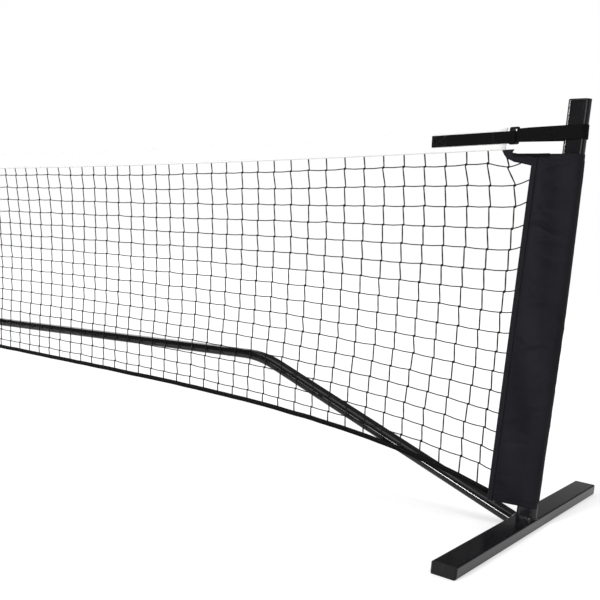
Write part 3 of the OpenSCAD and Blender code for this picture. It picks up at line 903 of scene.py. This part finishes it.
sleeveSet = {
    "lowNet": 0.0575,
    "lowPost": 0.0530,
    "high": 0.870,
    "reach": 0.089,
    "thickness": 0.0010,
    "room": 0.0046,
    "roundOut": 0.0086,
    "seam": 0.0100,
    # shares of the seam's width and of the layer's half thickness
    "seamSteps": ((1.0, 1), (0.93, 1), (0.5, 0.8), (0.14, 0.8), (0.04, 0.8)),
    "layer": 0.0008,
    "bulge": 0.0042,
    "bulgeFrom": 0.2,
    "puff": 0.0013,
    "walk": 22,
    "roundTurn": (100, -101, -8),  # degrees round the upright, from the back to the front
    "frontFrom": -0.02,  # nearer the upright than this, all that lies before its axis is the front
    "girthAt": 0.5,
    "hemHigh": 0.0135,
    "hemProud": 0.0007,
    "hemLimits": (0.0001, 0.0004),  # slack in the hem's height, and its distance from the seam's edge
    "levels": 250,
    "postSide": 0.115,  # from the seam's edge to the far side of the upright
    "calmSeam": 0.012,
    "calmPost": (0.45, -0.03, -0.01),  # how much calmer, and between which places
    "calmTop": (0.3, 0.05),
}
foldSet = {
    "deep": 0.0030,
    "waves": (52, 15),  # across the sleeve and up it
    "drift": (3.78, 6, 3.2, 11.0),  # size, waves across and up, seed
    "fade": (0.5, 9, 3.5, 3.0),
    "fine": (0.2, 60, 50, 5.0),
    # the fold depth at which the painted crease light and shade are whole
    "ridgeDeep": 0.0028,
}
creaseSet = {
    "main": ((-0.036, 0.712, -12, 0.034, 0.0052, 0.0042), (-0.036, 0.700, -12, 0.030, 0.0048, -0.0034),
             (-0.052, 0.748, -20, 0.018, 0.0042, 0.0028), (-0.018, 0.645, 8, 0.026, 0.0050, -0.0030)),
    "seed": 41,
    "count": 26,
    "high": (0.09, 0.76),  # the lowest, and how far up they lie from it
    "across": (-0.07, 0.02),
    "slope": (4, 38),
    "length": (0.014, 0.04),
    "width": (0.0038, 0.0080),
    "deep": (0.0010, 0.0030),
    "wander": (0.004, 60),
    "reach": 0.06,
    "backShift": 0.021,  # creases lie this much lower at the back
}


def creaseList(side):
    # short creases pressed in while the net lay folded: place, slope, length, width, depth
    rng = random.Random(creaseSet["seed"] + side)
    made = list(creaseSet["main"])
    low, tall = creaseSet["high"]
    for i in range(creaseSet["count"]):
        z = low + tall * (i + rng.random()) / creaseSet["count"]
        x = rng.uniform(*creaseSet["across"])
        slope = rng.choice((1, -1)) * rng.uniform(*creaseSet["slope"])
        length = rng.uniform(*creaseSet["length"])
        width = rng.uniform(*creaseSet["width"])
        made.append((x, z, slope, length, width, rng.choice((1, -1)) * rng.uniform(*creaseSet["deep"])))
    return made


def sleeveLayer(start, end, face):
    # one layer of cloth between the upright and the seam, standing off a little in its middle
    shares = [i / sleeveSet["walk"] for i in range(1, sleeveSet["walk"])]
    flat = [between(start, end, share) for share in shares]
    return [(x, y + face * sleeveSet["puff"] * math.sin(math.pi * share))
            for (x, y), share in zip(flat, shares)]


def sleeveOutline(z):
    # closed path round the upright, then both layers meeting at the seam by the net
    radius, layer = netShape["postRound"] + sleeveSet["room"], sleeveSet["layer"]
    slack = math.sin(math.pi * shareOf(z, sleeveSet["bulgeFrom"], sleeveSet["high"]))
    edgeX, edgeY = -sleeveSet["reach"] + sleeveSet["seam"], netY(z)
    points = []
    for a in map(math.radians, range(*sleeveSet["roundTurn"])):
        out = sleeveSet["roundOut"]
        cx = out + sleeveSet["bulge"] * slack if math.cos(a) >= 0 else -out
        points.append((cx + radius * math.cos(a), radius * math.sin(a)))
    seam = [(edgeX - sleeveSet["seam"] * (1 - t), layer * share) for t, share in sleeveSet["seamSteps"]]
    front = sleeveLayer(points[-1], (edgeX, edgeY - layer), -1)
    back = sleeveLayer((edgeX, edgeY + layer), points[0], 1)
    points += front + [(x, edgeY - lift) for x, lift in seam] + [(-sleeveSet["reach"], edgeY)]
    return points + [(x, edgeY + lift) for x, lift in reversed(seam)] + back


def sleeveFront(x, z):
    # how far forward the sleeve's front layer lies at this distance from the upright's axis
    near = sleeveSet["frontFrom"]
    half = sorted(q for q in sleeveOutline(z) if q[1] < netY(z) or q[0] > near and q[1] < 0)
    for (x1, y1), (x2, y2) in zip(half, half[1:]):
        if x1 <= x <= x2 and x2 > x1:
            return y1 + (y2 - y1) * (x - x1) / (x2 - x1)
    return netY(z)


def waver(x, front, z, side, plan):
    size, across, up, seed = plan
    return size * soft((x * across, front, z * up), seed + side)


def sleeveFold(x, y, z, side):
    # slack cloth: long slanting folds that drift, fade in and out, and fine unevenness on them
    front = 1.0 if y < 0 else -1.0
    across, up = foldSet["waves"]
    fold = math.sin(x * across + z * up + waver(x, front, z, side, foldSet["drift"]) + front)
    fold *= 0.5 + waver(x, front * 2, z, side, foldSet["fade"])
    return foldSet["deep"] * (fold + waver(x, front, z, 0, foldSet["fine"]))


def sleeveCrease(x, y, z, creases):
    depth = 0
    wander, waves = creaseSet["wander"]
    for cx, cz, slope, length, width, deep in creases:
        up = z - cz + (0.0 if y < 0 else creaseSet["backShift"])
        if abs(up) < creaseSet["reach"]:
            c, n = math.cos(math.radians(slope)), math.sin(math.radians(slope))
            along = (x - cx) * c + up * n
            across = up * c - (x - cx) * n + wander * math.sin(along * waves)
            depth += deep * math.exp(-(across / width) ** 2 - (along / length) ** 2)
    return depth


def sleeveHeights():
    # even rows, and more where the two hems step out
    base, hem, step = sleeveSet["lowNet"], sleeveSet["hemHigh"], sleeveSet["hemProud"]
    tall = sleeveSet["high"] - base
    marks = [m / tall for m in (hem, hem + step, tall - hem, tall - hem - step)]
    return [base + tall * level for level in sorted(set(spaced(0, 1, sleeveSet["levels"]) + marks))]


def sleeveDrop(x):
    # the sleeve's lower edge hangs lower towards the upright
    share = shareOf(x, -sleeveSet["reach"], sleeveSet["postSide"] - sleeveSet["reach"])
    return (sleeveSet["lowNet"] - sleeveSet["lowPost"]) * share


def buildSleeve(side, name):
    high, low, hem, reach = (sleeveSet[key] for key in ("high", "lowNet", "hemHigh", "reach"))
    heights = sleeveHeights()
    outlines = [sleeveOutline(z) for z in heights]
    lengths = [runLengths(path) for path in outlines]
    count = len(outlines[0])
    creases = creaseList(side)
    ridges = [0.0] * (len(heights) * count)
    netEdge = sleeveSet["seam"] - reach
    less, postFrom, postTo = sleeveSet["calmPost"]
    least, topReach = sleeveSet["calmTop"]
    slack, clear = sleeveSet["hemLimits"]

    def place(s, t):
        row, n = round(s * (len(heights) - 1)), round(t * count) % count
        z, path = heights[row], outlines[row]
        x, y = path[n]
        before, after = path[n - 1], path[(n + 1) % count]
        dx, dy = after[0] - before[0], after[1] - before[1]
        size = math.hypot(dx, dy) or 1
        # calm at the seam, calmer on the upright, and calm under the headband
        calm = shareOf(x, netEdge, netEdge + sleeveSet["calmSeam"])
        calm *= 1 - less * shareOf(x, postFrom, postTo)
        calm *= min(1, least + (high - z) / topReach)
        push = (sleeveCrease(x, y, z, creases) - sleeveFold(x, y, z, side)) * calm
        # painted light and shade: fold ridges are stored to paint the cloth paler, hollows to paint it
        # darker
        ridges[row * count + n] = max(-1, min(1, -push / foldSet["ridgeDeep"]))
        if min(high - z, z - low) < hem + slack and x > clear - reach:
            push -= sleeveSet["hemProud"]
        drop = sleeveDrop(x) * (1 - (z - low) / (high - low))
        point = atPost(side, x - dy / size * push, y + dx / size * push, z - drop)
        return point, (lengths[row][n], z)

    piece = gridPiece(name, "sleeveCloth", len(heights) - 1, count, place,
                      sleeveSet["thickness"], ring=True, flip=side > 0)
    # the ridge attribute carries the painted crease light and shade to the cloth's finish
    piece.data.attributes.new("ridge", "FLOAT", "POINT").data.foreach_set("value", ridges)
    return piece


seamSet = {
    "half": ((0.0128, 0.0021), (0.0124, 0.0025), (0.006, 0.0026), (0.0006, 0.0023)),
    "edge": -0.0008,
    "ends": (0.0004, 0.0068),
    "wave": (0.0004, 410),
    "unevenness": (0.0005, 60, 200, 4.0),  # size, waves up it and through it, seed
    "unevenFrom": 0.002,  # the edge is calm nearer to its middle than this
    "steps": 200,
    "thickness": 0.0006,
    "stitchRows": (0.0024, 0.0104),  # in from the sleeve's edge
    "stitchProud": 0.0031,
    "stitchEnds": 0.004,
    "hemProud": 0.0016,
    "hemRows": (0.0016, 0.0030),  # in from the hem's step and from the top edge
    "hemEnds": (0.011, 0.012),
    "stitch": (0.0042, 0.0030, 0.00055),
}


def seamStrip(side, name):
    # folded tape bound over the sleeve's edge beside the net, from top to bottom
    low, high, reach = sleeveSet["lowNet"], sleeveSet["high"], sleeveSet["reach"]
    half = seamSet["half"]
    section = [(x, -y) for x, y in half] + [(seamSet["edge"], 0)] + list(reversed(half))
    below, less = seamSet["ends"]
    height, waves = seamSet["wave"]
    size, up, through, seed = seamSet["unevenness"]

    def place(s, t):
        z = low - below + (high - less - low) * s
        x, y = section[round(t * (len(section) - 1))]
        ripple = height * math.sin(z * waves + side)
        ripple += size * soft((x, z * up, y * through), seed)
        y += math.copysign(ripple, y) * min(1, abs(y) / seamSet["unevenFrom"])
        return atPost(side, x - reach, netY(z) + y, z), (z, x + y)

    return gridPiece(name, "sleeveCloth", seamSet["steps"], len(section) - 1, place,
                     seamSet["thickness"], flip=side < 0)


def sleeveStitches(side, name):
    # two rows down the seam on each face, one along the lower hem and two along the upper
    low, high, hem, reach = (sleeveSet[key] for key in ("lowNet", "high", "hemHigh", "reach"))
    proud, ends = seamSet["stitchProud"], seamSet["stitchEnds"]
    lines = []
    for face in (-1, 1):
        for inward in seamSet["stitchRows"]:
            lines.append([atPost(side, inward - reach, netY(z) + face * proud, z)
                          for z in spaced(low + ends, high - ends, 120)])
    inHem, inTop = seamSet["hemRows"]
    first, last = seamSet["hemEnds"]
    for z, hangs in ((high - hem + inHem, 0), (high - inTop, 0), (low + hem - inHem, 1)):
        lines.append([atPost(side, x, sleeveFront(x, z) - seamSet["hemProud"], z - hangs * sleeveDrop(x))
                      for x in spaced(first - reach, last, 40)])
    return stitchPiece(name, lines, "greyThread", seamSet["stitch"])


for sideSign, sideName in sides:
    sleeve = buildSleeve(sideSign, "sleeve_cover_" + sideName)
    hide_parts("sleeve_" + sideName)
    outline = sleeveOutline(sleeveSet["girthAt"])
    girth = runLengths(outline + outline[:1])[-1]
    sewn = sleeveStitches(sideSign, "sleeve_stitches_" + sideName)
    strip = seamStrip(sideSign, "sleeve_seam_" + sideName)
print("sleeves hung")

gussetSet = {
    "thickness": 0.0011,
    "front": 0.0022,
    "top": ((-0.1645, 0.879), (-0.1498, 0.8797), (-0.1341, 0.8805), (-0.138, 0.8731), (-0.119, 0.8702),
            (-0.1035, 0.8703), (-0.0855, 0.8705)),
    "low": ((-0.164, 0.8782), (-0.158, 0.8689), (-0.1507, 0.8606), (-0.1415, 0.8566), (-0.1305, 0.8521),
            (-0.110, 0.8485), (-0.0855, 0.8435)),
    "stitches": ((-0.1592, 0.8722), (-0.1500, 0.8636), (-0.1405, 0.8590), (-0.1290, 0.8548),
                 (-0.1080, 0.8512), (-0.0900, 0.8475)),
    "ripple": (0.0005, 50, 3.0),
    "stitchProud": 0.0008,
    "stitch": (0.0036, 0.0027, 0.00040),
}
bindingSet = {
    "from": -0.1345,
    "to": -0.047,
    "top": 0.8708,
    "high": 0.0062,
    "thickness": 0.0008,
    "offGusset": 0.0010,
    "offSleeve": 0.0024,
    "bulge": 0.0003,
    "stitchDown": 0.72,
    "stitchProud": 0.0007,
    "stitchInset": 0.003,
}


def gussetPiece(side, name):
    top, low = gussetSet["top"], gussetSet["low"]
    ripple, waves, seed = gussetSet["ripple"]

    def place(s, t):
        n = t * (len(top) - 1)
        i = min(int(n), len(top) - 2)
        x, z = between(between(top[i], top[i + 1], n - i), between(low[i], low[i + 1], n - i), s)
        y = netY(z) - gussetSet["front"] + ripple * soft((x * waves, 0, z * waves), side * seed)
        return atPost(side, x, y, z), (x, z)

    return gridPiece(name, "sleeveCloth", 8, 24, place, gussetSet["thickness"],
                     flip=side > 0)


def bindingFront(x, z):
    # where the binding's middle lies: on the gusset, then on the sleeve's front
    flat = netY(z) - gussetSet["front"] - bindingSet["offGusset"]
    return min(flat, sleeveFront(x, z) - bindingSet["offSleeve"]) if x > gussetSet["top"][-1][0] else flat


def gussetBinding(side, name):
    # folded tape along the top of the gusset and on over the sleeve's upper corner
    start, end, top, high = (bindingSet[key] for key in ("from", "to", "top", "high"))

    def place(s, t):
        x = start + (end - start) * t
        z = top - high * (1 - s)
        y = bindingFront(x, z) - bindingSet["bulge"] * math.sin(math.pi * s)
        return atPost(side, x, y, z), (x, z)

    piece = gridPiece(name, "blackBinding", 5, 34, place, bindingSet["thickness"],
                      flip=side < 0)
    z = top - high * bindingSet["stitchDown"]
    inset = bindingSet["stitchInset"]
    line = [atPost(side, x, bindingFront(x, z) - bindingSet["stitchProud"], z)
            for x in spaced(start + inset, end - inset, 30)]
    return piece, line


def gussetRow(side):
    # a row of stitches inside the gusset's lower edge
    front = gussetSet["front"] + gussetSet["stitchProud"]
    return [atPost(side, x, netY(z) - front, z) for x, z in gussetSet["stitches"]]


for sideSign, sideName in sides:
    gusset = gussetPiece(sideSign, "gusset_cloth_" + sideName)
    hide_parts("gusset_" + sideName)
    binding, bindingLine = gussetBinding(sideSign, "gusset_binding_" + sideName)
    sewn = stitchPiece("gusset_stitches_" + sideName, [bindingLine, gussetRow(sideSign)], "greyThread",
                       gussetSet["stitch"])
print("gussets sewn")

strapSet = {
    "loopHigh": 0.0306,
    "loopDrop": -0.0008,
    "tailHigh": 0.0268,
    "tailDrop": 0.0026,
    "thickness": 0.0018,
    "edgeRound": 0.0004,
    "standOff": 0.0013,  # from what the webbing lies on to its middle
    "aboveTape": 0.0302,
    "slope": 2.325,
    "slopeReach": 0.156,  # from the headband's end to the upright's axis
    "tailBack": 0.348,
    "tapeHalf": 0.002,
    "gather": (0.001, 0.010, 0.016),  # how much, how far from the buckle and over what length
    "box": (0.004, 0.034, 0.003),  # the sewn box's start, length and inset
    "tacks": (-0.190, -0.1865),
    "stitchFront": 0.0035,
    "stitch": (0.0034, 0.0027, 0.00045),
    "buckleBack": 0.138,
    "buckleWide": 0.024,
    "buckleHigh": 0.039,
    "buckleThick": 0.0035,
    "buckleRound": 0.004,
    "buckleEdge": 0.0006,
    "windows": ((-1, -0.0162, 0.0116), (1, -0.0136, 0.0150)),  # side, bottom and top
    "windowRound": 0.001,
    "lift": 0.0005,
    "bar": 0.0035,
    "barRound": 0.00248,
    "midBar": 0.004,
    "midRound": 0.00266,
}
strapSlope = math.radians(strapSet["slope"])
strapLevel = tapeLow(netShape["tapeEnd"]) + strapSet["aboveTape"]
strapLevel += strapSet["slopeReach"] * math.tan(strapSlope)


def strapFrame(side, x, y, z):
    # from the strap's own frame to the model: it is turned about the upright's axis
    c, n = math.cos(strapSlope), math.sin(strapSlope)
    return atPost(side, x * c - z * n, y, strapLevel + (x * n + z * c))


def strapPiece(side, name, path, high, drop, closed):
    count = len(path)
    lengths = runLengths(path + path[:1])
    much, away, over = strapSet["gather"]

    def place(s, t):
        n = round(t * (count if closed else count - 1))
        x, y = path[n % count]
        # the webbing gathers a little where it passes through the buckle
        gather = much * math.exp(-((x + strapSet["buckleBack"] - away) / over) ** 2) if closed else 0
        z = (s - 0.5) * (high - 2 * gather)
        return strapFrame(side, x, y, z - drop), (z, lengths[n])

    return gridPiece(name, "webbing", 8, count if closed else count - 1, place,
                     strapSet["thickness"], ring=closed, flip=side > 0, bevel=strapSet["edgeRound"])


def loopPath():
    # round the upright and the buckle's outer bar, as tight as the webbing pulls
    y0, far = netShape["tapeY"], netShape["postRound"]
    barX = strapSet["buckleWide"] / 2 - strapSet["bar"] / 2 - strapSet["buckleBack"]
    big = netShape["postRound"] + strapSet["standOff"]
    small = strapSet["barRound"] + strapSet["standOff"]

    def touch(cx):
        # the bar's direction from a round end, and how far off it the webbing leaves that end
        dx = barX - cx
        spread = math.acos((big - small) / math.hypot(dx, y0))
        return math.degrees(math.atan2(y0, dx)) % 360, math.degrees(spread)

    toward, spread = touch(far)
    front = toward + spread - 360
    toward, spread = touch(-far)
    back = toward - spread
    c, n = math.cos(math.radians(front)), math.sin(math.radians(front))
    straight = [(far + big * c + (barX - far) * i / 12, big * n + (y0 + (small - big) * n) * i / 12)
                for i in range(1, 12)]
    atBar = arc(barX, y0, small, front, back - 360, 10)
    return arc(far, 0, big, 90, front, 18) + straight + atBar + arc(-far, 0, big, back, 90, 3)


def tailPath():
    # back of the headband, round the buckle's middle bar and along the front of the headband
    y0 = netShape["tapeY"]
    barX, start = -strapSet["buckleBack"], -strapSet["tailBack"]
    out = strapSet["tapeHalf"] + strapSet["standOff"]
    turn = strapSet["midRound"] + strapSet["standOff"]
    flat = [(x, y0 + out) for x in spaced(start, barX, 24)[:-1]]
    return flat + arc(barX, y0, turn, 90, -90, 10) + [(x, 2 * y0 - y) for x, y in reversed(flat)]


def strapStitches(side, name):
    # a crossed box where the tail is sewn to the headband, and a bar tack by the buckle
    inward, long, inset = strapSet["box"]
    front = netShape["tapeY"] - strapSet["stitchFront"] - strapSet["thickness"] / 2
    half = strapSet["tailHigh"] / 2 - inset
    start = inward - strapSet["tailBack"]
    end = start + long
    lines = [[(start, -half), (start, half), (end, half), (end, -half), (start, -half), (end, half)],
             [(start, half), (end, -half)]]
    lines += [[(x, -half), (x, half)] for x in strapSet["tacks"]]
    placed = [[strapFrame(side, x, front, z - strapSet["tailDrop"]) for x, z in line] for line in lines]
    return stitchPiece(name, placed, "blackThread", strapSet["stitch"])


def roundedRing(x, z, wide, high, radius, steps):
    # a rectangle round its middle with round corners
    ring = []
    for cx, cz, first in ((1, 1, 0), (-1, 1, 90), (-1, -1, 180), (1, -1, 270)):
        ring += arc(x + cx * (wide / 2 - radius), z + cz * (high / 2 - radius), radius,
                    first, first + 90, steps)
    return ring


def bucklePiece(side, name):
    # a three-bar slide: its outline and two windows drawn flat, filled, bevelled and stood in its place
    wide, mid = strapSet["buckleWide"], strapSet["midBar"]
    window = (wide - 2 * strapSet["bar"] - mid) / 2
    rings = [roundedRing(0, 0, wide, strapSet["buckleHigh"], strapSet["buckleRound"], 6)]
    for s, low, top in strapSet["windows"]:
        rings.append(roundedRing(s * (mid + window) / 2, (top + low) / 2 - strapSet["lift"],
                                 window, top - low, strapSet["windowRound"], 3))
    data = bpy.data.curves.new(name, "CURVE")
    data.dimensions = "2D"
    data.fill_mode = "BOTH"
    data.extrude = strapSet["buckleThick"] / 2 - strapSet["buckleEdge"]
    data.bevel_depth = strapSet["buckleEdge"]
    data.bevel_resolution = 3
    data.offset = -strapSet["buckleEdge"]
    for ring in rings:
        spline = data.splines.new("POLY")
        spline.points.add(len(ring) - 1)
        for point, (x, z) in zip(spline.points, ring):
            point.co = (x, z, 0, 1)
        spline.use_cyclic_u = True
    drawn = linked(name + "Drawn", data)
    mesh = bpy.data.meshes.new_from_object(drawn.evaluated_get(bpy.context.evaluated_depsgraph_get()))
    bpy.data.objects.remove(drawn)
    mesh.name = name
    for vert in mesh.vertices:
        x, z, y = vert.co
        vert.co = strapFrame(side, x - strapSet["buckleBack"], netShape["tapeY"] + y, z + strapSet["lift"])
    mesh.update()
    work = bmesh.new()
    work.from_mesh(mesh)
    bmesh.ops.remove_doubles(work, verts=work.verts, dist=0.00001)
    bmesh.ops.recalc_face_normals(work, faces=work.faces)
    work.to_mesh(mesh)
    work.free()
    mesh.materials.append(finish["bucklePlastic"])
    return settle(linked(name, mesh))


for sideSign, sideName in sides:
    loop = strapPiece(sideSign, "loop_webbing_" + sideName, loopPath(), strapSet["loopHigh"],
                      strapSet["loopDrop"], True)
    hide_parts("strap_loop_" + sideName)
    tail = strapPiece(sideSign, "tail_webbing_" + sideName, tailPath(), strapSet["tailHigh"],
                      strapSet["tailDrop"], False)
    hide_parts("strap_tail_" + sideName)
    strapStitches(sideSign, "strap_stitches_" + sideName)
    slider = bucklePiece(sideSign, "slide_buckle_" + sideName)
    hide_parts("buckle_" + sideName)
print("straps and buckles made")

studioSet = {
    "floor": 12.0,
    "floorDrop": 0.0002,
    "floorColor": 0.6,
    "floorLift": 0.5,
    "floorGloss": 0.3,
    "worldLight": 0.46,
    "ceiling": (0.04, 0.05, 0.32),  # strength, and the heights it comes in between
    "front": (0.04, -0.35, 0.1),
    "strip": 9.0,
    "stripRise": (0.45, 0.035),  # middle and half height of the long softbox
    "stripFront": -0.45,
    "stripSide": (-0.12, 0.32),
    "suns": {  # direction, angle, strength
        "keyLeft": ((-0.14, -0.88, 0.45), 8, 1.8),
        "fillRight": ((0.65, -0.78, 0.16), 24, 0.35),
        "edgeLeft": ((-0.93, -0.33, 0.15), 5, 0.5),
        "topBack": ((0.05, 0.35, 0.93), 70, 1.0),
    },
}


def aimSun(name, toward, angle, strength):
    lamp = bpy.data.lights.new(name, "SUN")
    lamp.angle = math.radians(angle)
    lamp.energy = strength
    holder = linked(name, lamp)
    holder.rotation_mode = "QUATERNION"
    holder.rotation_quaternion = Vector(toward).to_track_quat("Z", "Y")


def buildFloor():
    size = studioSet["floor"]
    mesh = bpy.data.meshes.new("floor")
    mesh.from_pydata([(-size, -size, 0), (size, -size, 0), (size, size, 0), (-size, size, 0)], [],
                     [(0, 1, 2, 3)])
    floor = linked("floor", mesh)
    floor.location.z = -studioSet["floorDrop"]
    material = bpy.data.materials.new("paper")
    material.use_nodes = True
    tree = material.node_tree
    tree.nodes.clear()
    plain = addNode(tree, "ShaderNodeBsdfDiffuse", {"Color": (studioSet["floorColor"],) * 3 + (1,)})
    path = tree.nodes.new("ShaderNodeLightPath").outputs
    direct = calc(tree, "MULTIPLY", path["Is Camera Ray"], studioSet["floorLift"])
    mirrored = calc(tree, "MULTIPLY", path["Is Glossy Ray"], studioSet["floorGloss"])
    glow = addNode(tree, "ShaderNodeEmission", {"Strength": calc(tree, "MAXIMUM", direct, mirrored)})
    add = addNode(tree, "ShaderNodeAddShader", {0: plain.outputs[0], 1: glow.outputs[0]})
    addNode(tree, "ShaderNodeOutputMaterial", {"Surface": add.outputs[0]})
    mesh.materials.append(material)


def buildWorld():
    # white backdrop for the camera; in the gloss it is white behind the net and dim above and in front
    world = bpy.data.worlds.new("studio")
    scene.world = world
    world.use_nodes = True
    tree = world.node_tree
    tree.nodes.clear()
    path = tree.nodes.new("ShaderNodeLightPath").outputs
    coords = tree.nodes.new("ShaderNodeTexCoord").outputs["Generated"]
    x, y, z = addNode(tree, "ShaderNodeSeparateXYZ", {0: coords}).outputs
    strength, low, high = studioSet["ceiling"]
    above = ramp(tree, z, 1.0, strength, low, high)
    strength, near, far = studioSet["front"]
    behind = ramp(tree, y, strength, 1.0, near, far)
    # a long narrow softbox lying level in front, seen only in the gloss
    rise, halfHigh = studioSet["stripRise"]
    side, halfLong = studioSet["stripSide"]
    upDown = calc(tree, "ABSOLUTE", calc(tree, "SUBTRACT", z, rise))
    sideways = calc(tree, "ABSOLUTE", calc(tree, "SUBTRACT", x, side))
    band = calc(tree, "MULTIPLY", calc(tree, "LESS_THAN", upDown, halfHigh),
                calc(tree, "LESS_THAN", y, studioSet["stripFront"]))
    band = calc(tree, "MULTIPLY", band, calc(tree, "LESS_THAN", sideways, halfLong))
    glossy = calc(tree, "ADD", calc(tree, "MULTIPLY", above, behind),
                  calc(tree, "MULTIPLY", band, studioSet["strip"]))
    mirrored = calc(tree, "MULTIPLY", path["Is Glossy Ray"], glossy)
    seen = calc(tree, "MAXIMUM", path["Is Camera Ray"], path["Is Transmission Ray"])
    seen = calc(tree, "MAXIMUM", seen, mirrored)
    spread = calc(tree, "MULTIPLY", path["Is Diffuse Ray"], studioSet["worldLight"])
    back = addNode(tree, "ShaderNodeBackground", {"Color": (1, 1, 1, 1),
                                                  "Strength": calc(tree, "MAXIMUM", seen, spread)})
    addNode(tree, "ShaderNodeOutputWorld", {"Surface": back.outputs[0]})


buildFloor()
buildWorld()
for sunName, values in studioSet["suns"].items():
    aimSun(sunName, *values)
scene.view_settings.view_transform = "Standard"
print("studio ready")
